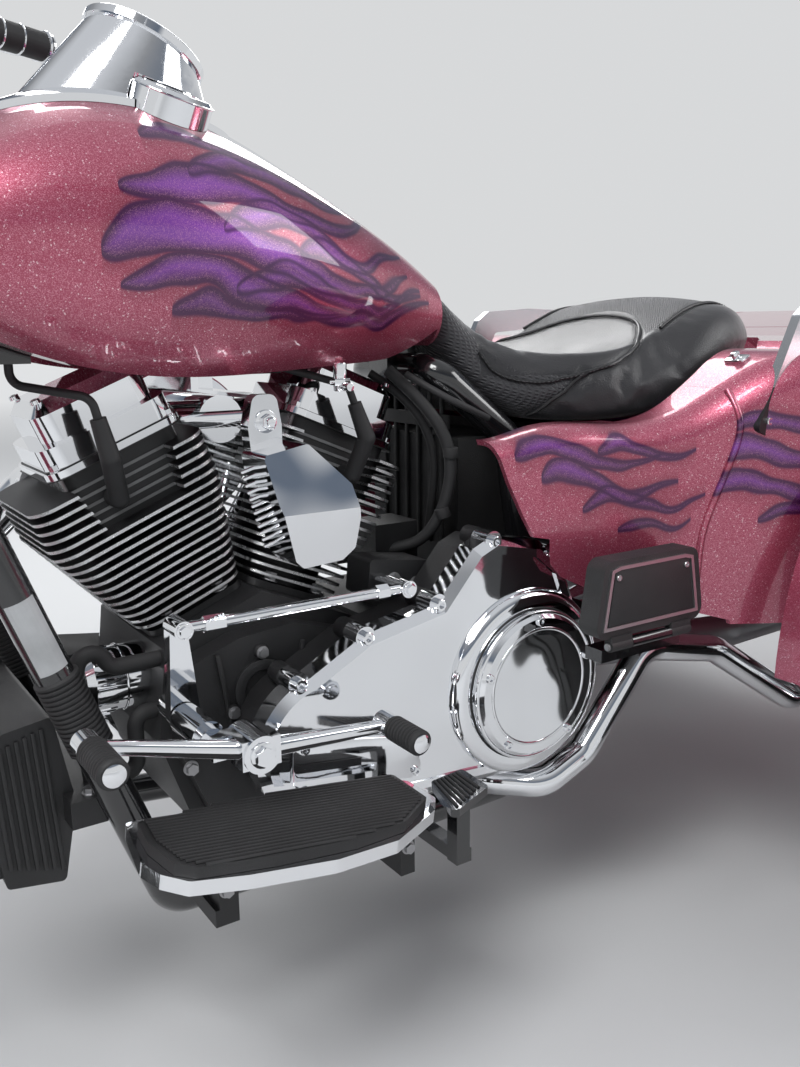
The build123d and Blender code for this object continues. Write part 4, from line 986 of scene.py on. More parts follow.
@dataclass
class Seat:
    """The two-up seat as a stuffed cover: swollen by cloth simulation, seamed, piped and stitched."""

    shrink: float = 0.006
    cap: float = 0.024
    voxel: float = 0.0055
    proud: float = 0.004
    groove: float = 0.0026
    groove_width: float = 0.005
    groove_reach: float = 0.012
    pressure: float = 4.0
    settle: int = 20
    piping: float = 2.1
    stitch_side: float = 0.0052
    stitch_half: float = 0.0013
    stitch_r: float = 0.55
    bucket: tuple = (
        (596, 91, 693), (589, 97, 672), (569, 112, 661), (550, 126, 657), (518, 144, 661), (484, 152, 672),
        (446, 157, 679), (409, 147, 690), (349, 101, 708), (318, 66, 720), (306, 0, 727),
    )
    flank: tuple = ((484, 152, 672), (501, 153, 659), (524, 143, 638), (538, 123, 620), (545, 106, 609))
    pillion: tuple = ((345, 128, 711), (300, 124, 735), (250, 118, 742), (205, 106, 738), (160, 84, 726),
                      (146, 40, 722), (146, 0, 722))

    def shell(self) -> bpy.types.Mesh:
        """Copy the plain seat as one closed skin, a little smaller.

        Returns:
            The skin.
        """
        work = bmesh.new()
        work.from_mesh(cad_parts["seat"].data)
        bmesh.ops.remove_doubles(work, verts=work.verts, dist=0.00002)
        work.normal_update()
        for vert in work.verts:
            vert.co -= vert.normal * self.shrink
        mesh = bpy.data.meshes.new("seat_shell")
        work.to_mesh(mesh)
        work.free()
        return mesh

    def evaluated(self, piece: bpy.types.Object) -> bpy.types.Mesh:
        """Return a copy of an object's mesh with its modifiers applied."""
        graph = bpy.context.evaluated_depsgraph_get()
        return bpy.data.meshes.new_from_object(piece.evaluated_get(graph))

    def swell(self, piece: bpy.types.Object) -> None:
        """Run the cloth simulation and keep its result within the seat's space.

        Args:
            piece: Object with the remeshed skin.
        """
        start = [vert.co.copy() for vert in piece.data.vertices]
        held = piece.vertex_groups.new(name="base")
        held.add([vert.index for vert in piece.data.vertices if vert.normal.z < -0.75], 1.0, "REPLACE")
        cloth = piece.modifiers.new("stuffing", "CLOTH")
        cloth.settings.use_pressure = True
        cloth.settings.uniform_pressure_force = self.pressure
        cloth.settings.vertex_group_mass = "base"
        cloth.settings.effector_weights.gravity = 0.0
        scene = bpy.context.scene
        for step in range(1, self.settle + 1):
            scene.frame_set(step)
        done = self.evaluated(piece)
        solid = BVHTree.FromObject(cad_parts["seat"], bpy.context.evaluated_depsgraph_get())
        for vert, old in zip(done.vertices, start):
            moved = vert.co - old
            if moved.length > self.cap:
                vert.co = old + moved.normalized() * self.cap
            near, normal, _, _ = solid.find_nearest(vert.co)
            limit = self.proud if normal.z > 0.2 else 0.0005
            out = (vert.co - near).dot(normal)
            if out > limit:
                vert.co -= normal * (out - limit)
        piece.modifiers.remove(cloth)
        piece.data = done
        scene.frame_set(1)

    def seams(self) -> list:
        """Lay out the seams on both sides.

        Returns:
            The seams, each a list of points in metres.
        """
        lines = []
        for half in (self.bucket, self.pillion):
            both = list(half) + [(x, -y, z) for x, y, z in reversed(half[:-1])]
            lines.append([at(*point) for point in both])
        for side in SIDES:
            lines.append([at(x, side * y, z) for x, y, z in self.flank])
        return lines

    def fine(self, line: list, step: float = 0.004) -> list:
        """Set a line's points closer together and round its corners.

        Args:
            line: Points of the line in metres.
            step: Least distance between two points in metres.

        Returns:
            The new points.
        """
        mesh = drawn_line(line, 12)
        points = [vert.co.copy() for vert in mesh.vertices]
        bpy.data.meshes.remove(mesh)
        kept = [points[0]]
        for point in points[1:]:
            if (point - kept[-1]).length >= step:
                kept.append(point)
        return kept

    def build(self) -> None:
        """Make the seat with its piping and stitches."""
        mesh = self.shell()
        piece = bpy.data.objects.new("seat_cover", mesh)
        bpy.context.collection.objects.link(piece)
        remesh = piece.modifiers.new("skin", "REMESH")
        remesh.mode = "VOXEL"
        remesh.voxel_size = self.voxel
        piece.data = self.evaluated(piece)
        piece.modifiers.remove(remesh)
        self.swell(piece)
        work = bmesh.new()
        work.from_mesh(piece.data)
        for _ in range(2):
            bmesh.ops.smooth_vert(work, verts=work.verts, factor=0.5, use_axis_x=True, use_axis_y=True,
                                  use_axis_z=True)
        work.to_mesh(piece.data)
        skin = BVHTree.FromBMesh(work)
        lines = []
        for line in self.seams():
            lines.append([skin.find_nearest(point)[0] for point in self.fine(line)])
        work.normal_update()
        tree = KDTree(sum(len(line) for line in lines))
        for index, point in enumerate(point for line in lines for point in line):
            tree.insert(point, index)
        tree.balance()
        for vert in work.verts:
            _, _, away = tree.find(vert.co)
            if away < self.groove_reach:
                vert.co -= vert.normal * self.groove * math.exp(-(away / self.groove_width) ** 2)
        for face in work.faces:
            face.smooth = True
        work.to_mesh(piece.data)
        work.free()
        piece.data.materials.clear()
        piece.data.materials.append(Palette.SEAT.value.material())
        smooth = piece.modifiers.new("round", "SUBSURF")
        smooth.levels = smooth.render_levels = 1
        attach(piece, "chassis")
        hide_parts("seat")
        log.info("seat_cover: %d faces", len(piece.data.polygons))
        self.trim(lines)

    def trim(self, lines: list) -> None:
        """Lay the piping in the seams, with a row of stitches on each side.

        Args:
            lines: Seam points on the skin.
        """
        piping = Piece("seat_piping", Palette.PIPING)
        for line in lines:
            piping.tube([point + UP * 0.0004 for point in line], self.piping, 2)
        piping.finish_up()
        thread = Piece("seat_stitches", Palette.THREAD)
        for line in lines[:2]:
            for index in range(1, len(line) - 1):
                along = (line[index + 1] - line[index - 1]).normalized()
                out = UP - along * along.z
                side = along.cross(out).normalized()
                for way in SIDES:
                    place = line[index] + side * (self.stitch_side * way) + out * 0.0004
                    half = along * self.stitch_half
                    thread.rod(place - half, place + half, self.stitch_r, sides=5)
        thread.finish_up()


def on_cylinder(lean: int, across: float, y: float, along: float) -> Vector:
    """Point of a cylinder's own frame: across the V, to the left and up its axis, in millimetres.

    Args:
        lean: 1 for the front cylinder, -1 for the rear one.
        across: Distance across its axis, ahead.
        y: Distance to the left.
        along: Distance up its axis from the crankshaft.

    Returns:
        The point.
    """
    sine, cosine = math.sin(CYL_TILT), math.cos(CYL_TILT)
    return at(CRANK_X + across * cosine + along * lean * sine, y,
              CRANK_Z - across * lean * sine + along * cosine)


@dataclass
class Engine:
    """Bolts, ribs, collars and caps of the engine and its covers."""

    clutch: tuple = (620.0, 335.0)
    clutch_y: float = 224.0
    clutch_r: float = 81.0
    cover_y: float = 204.0
    screws: tuple = ((899, 389), (824, 421), (736, 440), (664, 497), (584, 474), (884, 247), (760, 240))
    hatch: tuple = ((912, 326), (900, 334), (788, 312), (770, 300), (764, 274), (776, 263), (896, 281), (912, 292))
    hatch_screws: tuple = ((906, 333), (770, 305), (764, 262), (908, 279))
    hatch_middle: tuple = (838, 297)
    cam: tuple = (898, -160, 317)
    cam_screws: tuple = ((972, 366), (972, 262), (908, 216), (838, 230), (800, 318), (834, 382))
    cleaner: tuple = (870, 580)
    cleaner_y: float = -226.0
    cleaner_r: float = 92.2
    pleats: int = 72
    case_y: float = 127.8
    case_bolts: tuple = ((986, 386), (984, 300), (938, 236), (820, 240), (796, 330), (640, 392), (735, 385))
    case_webs: tuple = ((946, 412, 0.16), (862, 410, -0.10), (846, 400, -0.2))
    case_bosses: tuple = ((938, 348), (873, 348), (905, 404))
    oil_filter: tuple = (34.0, 374.0)

    def build(self) -> None:
        """Make the engine's trim."""
        self.primary()
        self.heads()
        self.right_side()
        self.left_side()

    def primary(self) -> None:
        """Screws, hatch and clutch rim of the primary cover."""
        piece = Piece("primary_screws", Palette.CHROME)
        for x, z in self.screws:
            piece.screw(at(x, self.cover_y - 7, z), LEFT, 6.5, 6.5)
        x, z = self.clutch
        for spot in round_spots(at(x, self.clutch_y, z), self.clutch_r - 8, 5, math.tau / 20):
            piece.screw(spot, LEFT, 5.0, 3.0)
        mid_x, mid_z = self.hatch_middle
        for px, pz in self.hatch_screws:
            piece.screw(at(mid_x + (px - mid_x) * 0.9, self.cover_y + 1.5, mid_z + (pz - mid_z) * 0.78),
                        LEFT, 4.5, 3.0)
        piece.finish_up()
        rim = Piece("clutch_cover_rim", Palette.CHROME)
        rim.ring(at(x, self.clutch_y - 1.2, z), LEFT, self.clutch_r - 16.5, 2.2, 96, 10)
        rim.ring(at(x, self.clutch_y - 6, z), LEFT, self.clutch_r + 0.4, 2.6, 96, 10)
        rim.finish_up()
        hatch = Piece("chain_hatch", Palette.CHROME)
        hatch.plate([at(px, self.cover_y - 3.2, pz) for px, pz in self.hatch], LEFT * 0.005, 1.6)
        hatch.finish_up()
        seal = Piece("primary_gasket", Palette.RUBBER)
        seal.ring(at(x, self.cover_y + 8.2, z), LEFT, self.clutch_r + 3.4, 1.2, 96, 8)
        seal.finish_up()

    def heads(self) -> None:
        """Rocker box bolts, head bolts and gaskets on both cylinders."""
        piece = Piece("rocker_bolts", Palette.CHROME)
        dark = Piece("head_bolts", Palette.STEEL)
        joint = Piece("rocker_gaskets", Palette.INK)
        for lean in (1, -1):
            up = on_cylinder(lean, 0, 0, 1000) - on_cylinder(lean, 0, 0, 0)
            for across in (-46, 46):
                for y in (-40, 40):
                    piece.screw(on_cylinder(lean, across, y, 391.5), up, 5.0, 4.0)
            for across in (-61, 61):
                for y in (-54, 0, 54):
                    piece.bolt(on_cylinder(lean, across, y, 351.6 - 21.6), up, 4.2, 5.0)
            for across in (-30, 30):
                for y in (60, -60):
                    dark.bolt(on_cylinder(lean, across, y, 147), up, 7.0, 8.0)
            for low, half_a, half_y in ((322.1, 72.6, 64.6), (330.0, 68.7, 60.7)):
                short_a, short_y = half_a - 12, half_y - 12
                corners = [(short_a, half_y), (half_a, short_y), (half_a, -short_y), (short_a, -half_y),
                           (-short_a, -half_y), (-half_a, -short_y), (-half_a, short_y), (-short_a, half_y)]
                joint.plate([on_cylinder(lean, a, b, low) for a, b in corners], up.normalized() * 0.0009, 0)
        piece.finish_up()
        dark.finish_up()
        joint.finish_up()

    def right_side(self) -> None:
        """Cam cover ring, pushrod collars and the air cleaner's trim."""
        piece = Piece("cam_cover_trim", Palette.CHROME)
        centre = at(*self.cam)
        piece.lathe([(0.02, -1), (40, -1), (40, 2.5), (36, 4), (30, 2), (0.02, 2)], centre, -LEFT, 72)
        for spot in round_spots(centre, 45, 5, 0.3):
            piece.screw(spot, -LEFT, 4.0, 3.0)
        for x, z in self.cam_screws:
            piece.screw(at(x, -150, z), -LEFT, 4.5, 4.0)
        for lean in (1, -1):
            for foot, top in ((24, -22), (56, 20)):
                start = at(CRANK_X + lean * foot, -118, 417)
                end = on_cylinder(lean, lean * top, -50, 317)
                way = (end - start).normalized()
                for share, radius in ((0.06, 12.5), (0.34, 10.5), (0.38, 11.5), (0.86, 12.0)):
                    spot = start + (end - start) * share
                    piece.rod(spot, spot + way * 0.010, radius, sides=28, soft=1.0)
        piece.finish_up()
        cleaner = Piece("air_cleaner_trim", Palette.CHROME)
        x, z = self.cleaner
        middle = at(x, self.cleaner_y, z)
        cleaner.lathe([(0.02, -1), (58, -1), (58, 1.5), (54, 3.4), (50, 1.5), (0.02, 1.5)], middle, -LEFT, 96)
        cleaner.ring(at(x, -156, z), LEFT, self.cleaner_r, 2.6, 96, 8)
        cleaner.screw(middle - LEFT * 0.0012, -LEFT, 8.0, 4.0)
        cleaner.finish_up()
        mesh = Piece("air_filter_pleats", Palette.INK)
        for spot in round_spots(at(x, 0, z), self.cleaner_r + 0.1, self.pleats):
            mesh.rod(spot + LEFT * -0.164, spot + LEFT * -0.196, 1.5, sides=6)
        mesh.finish_up()

    def left_side(self) -> None:
        """Case bolts, webs and bosses, the oil filter's grip and the fuel tap under the tank."""
        piece = Piece("case_bolts", Palette.STEEL)
        for x, z in self.case_bolts:
            piece.bolt(at(x, self.case_y, z), LEFT, 6.0, 6.0)
        piece.bolt(at(744, 125.8, 452), LEFT, 7.0, 6.0)
        piece.bolt(at(716, 125.8, 446), LEFT, 5.0, 5.0)
        cast = Piece("case_webs", Palette.ENGINE)
        cast.lathe([(0.02, -1), (30, -1), (30, 3.0), (26, 4.6), (20, 4.6), (18, 2.4), (0.02, 2.4)],
                   at(905, 128, 366), LEFT, 56)
        for x, top, way in self.case_webs:
            cast.box(at(x, 129.5, top - 40), (5.0, 5.0, 76), Vector((way, 0, 1)), 1.4)
        for x, z in self.case_bosses:
            cast.rod(at(x, 127, z), at(x, 133, z), 8.0, 7.0, soft=0.8)
            piece.bolt(at(x, 132.8, z), LEFT, 5.0, 4.0)
        cast.finish_up()
        piece.finish_up()
        ribs = Piece("oil_filter_grip", Palette.CHROME)
        y, z = self.oil_filter
        for index in range(24):
            turn = math.tau * index / 24
            spot = at(1030, y + 32.6 * math.cos(turn), z + 32.6 * math.sin(turn))
            ribs.rod(spot, spot + AHEAD * 0.020, 1.6, sides=6)
        ribs.ring(at(1020, y, z), AHEAD, 33.2, 1.2, 64, 8)
        ribs.finish_up()
        tap = Piece("fuel_tap", Palette.CHROME)
        for start, end, radius, sides, soft in (((790, 100, 684), (790, 100, 655), 7.0, 24, 1.0),
                                                ((790, 100, 668), (790, 100, 661), 10.5, 6, 0.8),
                                                ((790, 100, 660), (790, 121, 660), 4.5, 16, 0.6)):
            tap.rod(at(*start), at(*end), radius, sides=sides, soft=soft)
        tap.finish_up()


@dataclass
class HornTrim:
    """Louvres on the horn cover's front wall and the bolt of its hanger."""

    count: int = 12
    top: tuple = (919.5, 596.0)
    low: tuple = (897.0, 517.0)
    bolt: tuple = (901, 634)

    def build(self) -> None:
        """Make the trim."""
        piece = Piece("horn_louvres", Palette.CHROME)
        for index in range(self.count):
            share = (index + 0.5) / self.count
            x = self.top[0] + (self.low[0] - self.top[0]) * share
            z = self.top[1] + (self.low[1] - self.top[1]) * share
            piece.box(at(x - 0.6, 157, z), (3.2, 28.0, 3.4), Vector((0.27, 0, 0.96)), 1.2)
        piece.finish_up()
        bolt = Piece("horn_bolt", Palette.CHROME)
        x, z = self.bolt
        for low, high, radius, sides, soft in ((149.6, 152.5, 11.0, 32, 0.6), (152, 160, 7.5, 6, 0.6),
                                               (159, 165, 5.0, 24, 1.6)):
            bolt.rod(at(x, low, z), at(x, high, z), radius, sides=sides, soft=soft)
        bolt.finish_up()


@dataclass
class Controls:
    """Ribbed pegs, ribbed board pads, pedal pads and small bolts of the rider's controls."""

    pad: tuple = ((1082, 252), (1086, 290), (1080, 330), (1066, 342), (1000, 346), (925, 343), (868, 330),
                  (818, 292), (817, 232), (900, 232), (1018, 243), (1066, 252))
    tilt: float = math.radians(8.0)
    pivot: tuple = (940, 300)
    peg_y: float = 270.3
    peg_rows: tuple = ((1116, 404, 12.5, 326), (840, 356, 12.0, 318))
    rib_first: float = 238.0
    rib_last: float = 342.0
    rib_pitch: float = 5.2
    rib_z: float = 306.9

    def build(self) -> None:
        """Make the controls' trim."""
        self.pegs()
        self.pads()
        self.small()

    def pegs(self) -> None:
        """Ribbed rubber pegs with chrome ends, in place of the plain ones."""
        rubber = Piece("shifter_peg_rubbers", Palette.RUBBER)
        ends = Piece("shifter_peg_ends", Palette.CHROME)
        for x, z, radius, end in self.peg_rows:
            foot = at(x, self.peg_y, z)
            length = end - self.peg_y - 3.0
            profile = [(3.0, 0.0), (radius - 2.5, 0.0)]
            count = 11 if length > 50 else 9
            for index in range(count):
                low = 1.0 + (length - 2.0) * index / count
                high = low + (length - 2.0) / count
                profile += [(radius - 1.7, low), (radius, low + 0.9), (radius, high - 1.4),
                            (radius - 1.7, high - 0.5)]
            profile += [(radius - 2.5, length), (3.0, length)]
            rubber.lathe(profile, foot, LEFT, 40)
            ends.lathe([(0.02, length - 1), (radius * 0.72, length - 1), (radius * 0.72, length + 1.2),
                        (radius * 0.5, length + 2.6), (0.02, length + 3.0)], foot, LEFT, 32)
            ends.lathe([(4.0, -1.5), (radius * 0.95, -1.5), (radius * 0.95, 0.4), (4.0, 0.4)], foot, LEFT, 32)
        made = rubber.finish_up()
        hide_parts("shifter_pegs")
        ends.finish_up()

    def reach(self, y: float) -> tuple:
        """Find where a line along the machine enters and leaves the pad's outline.

        Args:
            y: Distance of the line to the left in millimetres.

        Returns:
            Both places ahead of the axle, or two zeros where the line misses the pad.
        """
        hits = []
        for (x1, y1), (x2, y2) in zip(self.pad, self.pad[1:] + self.pad[:1]):
            if (y1 - y) * (y2 - y) < 0:
                hits.append(x1 + (x2 - x1) * (y - y1) / (y2 - y1))
        return (min(hits), max(hits)) if len(hits) > 1 else (0.0, 0.0)

    def on_board(self, x: float, y: float, z: float) -> Vector:
        """Point on the tilted footboard.

        Args:
            x: Distance ahead of the axle before the tilt.
            y: Distance to the left.
            z: Height before the tilt.

        Returns:
            The point.
        """
        sine, cosine = math.sin(self.tilt), math.cos(self.tilt)
        dx, dz = x - self.pivot[0], z - self.pivot[1]
        return at(self.pivot[0] + dx * cosine - dz * sine, y, self.pivot[1] + dx * sine + dz * cosine)

    def pads(self) -> None:
        """Long ribs on both footboard pads and across the parking pedal."""
        piece = Piece("footboard_ribs", Palette.RUBBER)
        for side in SIDES:
            y = self.rib_first
            while y < self.rib_last:
                low, high = self.reach(y)
                if high - low > 24:
                    start = self.on_board(low + 6, side * y, self.rib_z)
                    end = self.on_board(high - 6, side * y, self.rib_z)
                    piece.rod(start, end, 1.6, sides=8)
                y += self.rib_pitch
        piece.finish_up()
        pad = Piece("parking_pedal_ribs", Palette.RUBBER)
        for index in range(7):
            share = (index + 0.5) / 7
            start = at(764 + 34 * share, 269 + 4 * share, 291.4)
            end = at(766 + 46 * share, 306 + 22 * share, 291.4)
            pad.rod(start, end, 1.5, sides=8)
        pad.finish_up()

    def small(self) -> None:
        """Pinch bolts, rod ends and nuts."""
        piece = Piece("lever_bolts", Palette.CHROME)
        piece.bolt(at(976, 276, 366), LEFT, 9.0, 6.0)
        piece.bolt(at(1006, 188, 458), LEFT, 5.5, 4.0)
        piece.bolt(at(764, 186, 458), LEFT, 5.5, 4.0)
        piece.rod(at(984, 178, 458), at(964, 178, 458), 8.0, sides=6)
        piece.rod(at(786, 178, 458), at(800, 178, 458), 8.0, sides=6)
        for x, z, _, _ in self.peg_rows:
            piece.bolt(at(x, 250, z), -LEFT, 6.0, 4.0)
        piece.finish_up()
        plates = Piece("bracket_bolts", Palette.STEEL)
        for side in SIDES:
            for x, z in ((1009, 245), (820, 225)):
                plates.bolt(at(x, side * 262, z), LEFT * side, 5.5, 4.5)
        plates.finish_up()


@dataclass
class PassengerBoards:
    """Bright outlines, raised pads, screws and pins of the folding boards."""

    outline: tuple = ((458, 411), (602, 411), (592, 475), (580, 478), (482, 478), (470, 475))

    def build(self) -> None:
        """Make both boards' trim."""
        for word, side in (("left", 1), ("right", -1)):
            body = "board_" + word
            out = Vector((0, side, 0))
            corners = [at(x, side * 297.8, z) for x, z in self.outline]
            if side < 0:
                corners.reverse()
            strip = Piece("passenger_board_outline_" + word, Palette.ALLOY, body)
            strip.frame_strip(corners, 3.8, out * 0.0019)
            for x in (480, 582):
                strip.screw(at(x, side * 299.0, 466), out, 3.4, 1.6)
            strip.finish_up()
            middle = sum(corners, Vector()) / len(corners)
            pad = Piece("passenger_board_pad_" + word, Palette.RUBBER, body)
            pad.plate([middle + (corner - middle) * 0.9 for corner in corners], out * 0.0012, 0.4)
            pad.finish_up()
            pins = Piece("passenger_board_pins_" + word, Palette.STEEL, body)
            for x, way in ((470.5, -AHEAD), (590.3, AHEAD)):
                foot = at(x, side * 296, 393)
                pins.rod(foot, foot + way * 0.003, 4.0, sides=20, soft=0.6)
            pins.finish_up()


@dataclass
class FrameTrim:
    """Ribbed sleeves and a blank label on the down tubes, wiring, and trim of regulator and battery box."""

    top: tuple = (1153.0, 122.0, 552.0)
    knee: tuple = (1071.0, 127.0, 330.0)
    tube_r: float = 17.5
    ribs: int = 16
    fins: int = 7
    fin_x: float = 1107.0
    fin_pitch: float = 7.6
    loom: tuple = (
        (7.0, ((700, 52, 672), (676, 84, 640), (650, 104, 590), (650, 100, 530), (668, 80, 480), (694, 56, 468),
               (716, 34, 462))),
        (5.0, ((704, 20, 668), (670, 48, 640), (645, 66, 585), (642, 56, 520), (640, 40, 470))),
        (4.0, ((690, 74, 668), (672, 108, 648), (640, 124, 630), (610, 118, 618))),
    )

    def place(self, share: float, side: int = 1) -> Vector:
        """Point on the down tube, from its top to its knee."""
        low = [a + (b - a) * share for a, b in zip(self.top, self.knee)]
        return at(low[0], side * low[1], low[2])

    def build(self) -> None:
        """Make the trim."""
        self.sleeves()
        self.label()
        self.side_fins()
        self.wiring()
        self.battery()
        bolts = Piece("regulator_bolts", Palette.STEEL)
        for y in (-112, 112):
            bolts.bolt(at(1078, y, 294), UP, 6.0, 5.0)
        bolts.finish_up()

    def sleeves(self) -> None:
        """Ribbed sleeves low on both down tubes."""
        sleeve = Piece("down_tube_sleeves", Palette.RUBBER)
        for side in SIDES:
            start, end = self.place(0.60, side), self.place(0.93, side)
            length = (end - start).length * 1000
            pitch = length / self.ribs
            root, low_r, top_r = self.tube_r + 0.1, self.tube_r + 1.2, self.tube_r + 3.2
            profile = [(root, 0.0)]
            for index in range(self.ribs):
                low = length * index / self.ribs
                profile += [(low_r, low + 0.6), (top_r, low + 1.6), (top_r, low + pitch - 1.4),
                            (low_r, low + pitch - 0.5)]
            profile.append((root, length))
            sleeve.lathe(profile, start, end - start, 40)
        sleeve.finish_up()

    def label(self) -> None:
        """Blank label that wraps round the left down tube in narrow strips."""
        label = Piece("blank_label", Palette.LABEL)
        start, end = self.place(0.26), self.place(0.56)
        way = (end - start).normalized()
        side = LEFT.cross(way).normalized()
        for step in range(-3, 4):
            turn, half = math.radians(step * 13.0), math.radians(6.6)
            rows = []
            for angle in (turn - half, turn + half):
                out = LEFT * math.cos(angle) + side * math.sin(angle)
                rows.append(out * (self.tube_r + 0.35) / 1000)
            label.plate([start + rows[0], end + rows[0], end + rows[1], start + rows[1]],
                        (rows[0] + rows[1]).normalized() * 0.0003, 0)
        label.finish_up()

    def side_fins(self) -> None:
        """Upright fins on both ends of the regulator."""
        fins = Piece("regulator_side_fins", Palette.ENGINE)
        for side in SIDES:
            for index in range(self.fins):
                shift = self.fin_pitch * index
                low, high = 216 + 0.30 * shift, 366 - 0.30 * shift
                fins.box(at(self.fin_x + shift + 3, side * 101.5, (low + high) / 2), (3.0, 4.0, high - low - 6),
                         Vector((0.07, 0, 1)), 0.8)
        fins.finish_up()

    def wiring(self) -> None:
        """Wiring loom from under the tank down to the gearbox, with two bands."""
        loom = Piece("wiring_loom", Palette.RUBBER)
        for radius, points in self.loom:
            loom.tube([at(*point) for point in points], radius, 3)
        for place, way in (((651, 103.5, 575), (0, 0.05, 1)), ((655, 97, 506), (0.25, -0.2, 1))):
            spot = at(*place)
            loom.rod(spot, spot + Vector(way).normalized() * 0.012, 8.6, sides=24, soft=0.8)
        loom.finish_up()

    def battery(self) -> None:
        """Ribs and a cross bar on the front of the battery box's cover."""
        # The ribs take the cover's darkened black, which includes painted shade.
        ribs = Piece("battery_cover_ribs", Palette.COVER_PAINTED_SHADE)
        for index in range(6):
            ribs.box(at(631, -60 + 24 * index, 560), (4.0, 6.0, 190.0), UP, 1.2)
        ribs.box(at(632.5, 0, 612), (5.0, 150.0, 16.0), UP, 1.2)
        ribs.finish_up()


@dataclass
class Dash:
    """Dial with ticks and needle, its bezel, and the filler cap's rim."""

    centre: tuple = (944.0, 0.0, 980.0)
    axis: tuple = (-0.452, 0.0, 0.892)
    radius: float = 57.0
    cap: tuple = (945.0, 80.0, 931.0)
    cap_axis: tuple = (-0.22, 0.33, 0.92)
    cap_r: float = 37.0
    ticks: int = 40
    sweep: tuple = (-225, 270)

    def build(self) -> None:
        """Make the dash trim."""
        axis = Vector(self.axis).normalized()
        centre = at(*self.centre)
        bezel = Piece("gauge_bezel", Palette.CHROME)
        bezel.ring(centre + axis * 0.0068, axis, self.radius - 0.8, 2.6, 96, 10)
        bezel.finish_up()
        dial = Piece("gauge_dial", Palette.DIAL)
        dial.rod(centre + axis * 0.0030, centre + axis * 0.0038, self.radius - 4.5, sides=72)
        dial.finish_up()
        side = axis.cross(LEFT).normalized()
        ink = Piece("gauge_ticks", Palette.INK)
        first, whole = self.sweep
        for index in range(self.ticks + 1):
            turn = math.radians(first + whole * index / self.ticks)
            way = LEFT * -math.cos(turn) - side * math.sin(turn)
            long, thick = (0.008, 0.6) if index % 5 == 0 else (0.004, 0.35)
            spot = centre + axis * 0.0040 + way * (self.radius / 1000 - 0.010)
            ink.rod(spot, spot - way * long, thick, sides=5)
        way = (LEFT + side * 0.7).normalized()
        ink.rod(centre + axis * 0.0046 - way * 0.006, centre + axis * 0.0046 + way * 0.036, 1.2, 0.3, sides=8)
        ink.rod(centre + axis * 0.0036, centre + axis * 0.0056, 5.0, sides=24, soft=0.4)
        ink.finish_up()
        rim = Piece("filler_cap_rim", Palette.CHROME)
        axis = Vector(self.cap_axis).normalized()
        top = at(*self.cap)
        rim.ring(top - axis * 0.0042, axis, self.cap_r + 0.2, 1.1, 72, 8)
        rim.ring(top - axis * 0.0003, axis, self.cap_r - 9.0, 0.9, 72, 8)
        rim.finish_up()


@dataclass
class BodyTrim:
    """Seam beads, fender beads, latches, lid seal, rail bolts, lamps' rims and ribs, and the plate lamp."""

    seam: tuple = ((417, 404), (417.5, 440), (416, 490), (399, 540), (381, 591), (379, 620), (379, 646))
    fender_r: float = 352.0
    fender_y: float = 690.0
    axle_z: float = 324.0
    lamp: tuple = (-338, 520, 560)

    def build(self) -> None:
        """Make the body's trim."""
        self.beads()
        self.deck()
        self.tail()

    def beads(self) -> None:
        """Raised beads along the seams and round the wheel openings."""
        graph = bpy.context.evaluated_depsgraph_get()
        skins = [BVHTree.FromObject(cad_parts[name], graph) for name in ("rear_body", "side_panels")]
        piece = Piece("seam_beads", Palette.BODY_PAINT)
        for side in SIDES:
            line = []
            for x, z in self.seam:
                ray = at(x, side * 500, z)
                hits = [skin.ray_cast(ray + AHEAD * shift, Vector((0, -side, 0)))[0] for skin in skins
                        for shift in (-0.003, 0.003)]
                hits = [hit for hit in hits if hit]
                if hits:
                    far = max(abs(hit.y) for hit in hits)
                    line.append(Vector((ray.x, side * (far - 0.0012), ray.z)))
            piece.tube(line, 4.2, 3)
        piece.finish_up()
        rims = Piece("fender_beads", Palette.PAINT)
        for side in SIDES:
            line = []
            for index in range(49):
                turn = math.radians(1.0 + 178 * index / 48)
                line.append(at(self.fender_r * math.cos(turn), side * (self.fender_y - 2.2),
                               self.axle_z + self.fender_r * math.sin(turn)))
            rims.tube(line, 3.4, 3)
        rims.finish_up()

    def deck(self) -> None:
        """Latch ahead of the seam, rail bolts, lid seal and lid lock."""
        latch = Piece("deck_latch", Palette.CHROME)
        latch.box(at(334, 236, 679), (26, 16, 5), Vector((0.45, 0, 0.9)), 1.4)
        latch.rod(at(336, 236, 680), at(339, 236, 687), 5.0, sides=24, soft=1.0)
        latch.rod(at(-561, 0, 700), at(-566, 0, 700), 11.0, sides=32, soft=1.0)
        latch.finish_up()
        seal = Piece("lid_seal", Palette.RUBBER)
        seal.tube([at(-557, side * 282, 731.5) for side in SIDES], 1.6, 2, False)
        seal.finish_up()
        bolts = Piece("rail_bolts", Palette.CHROME)
        for side in SIDES:
            for x, z in ((352, 612), (4, 700)):
                bolts.screw(at(x, side * 296.9, z), LEFT * side, 4.5, 3.0)
        bolts.finish_up()

    def tail(self) -> None:
        """Rims and ribs of the tail lamps, and the lamp over the plate holder."""
        rims = Piece("tail_lamp_rims", Palette.CHROME)
        ribs = Piece("tail_lamp_ribs", Palette.RED)
        for side in SIDES:
            centre = at(self.lamp[0], side * self.lamp[1], self.lamp[2])
            rims.ring(centre + AHEAD * 0.004, AHEAD, 46.5, 3.0, 72, 10)
            for radius in (12, 22, 32):
                ribs.ring(centre + AHEAD * 0.0002, AHEAD, radius, 1.4, 48, 6)
        rims.finish_up()
        ribs.finish_up()
        lamp = Piece("plate_lamp", Palette.CHROME)
        lamp.rod(at(-640, -22, 616), at(-640, 22, 616), 7.5, sides=28, soft=2.0)
        lamp.finish_up()


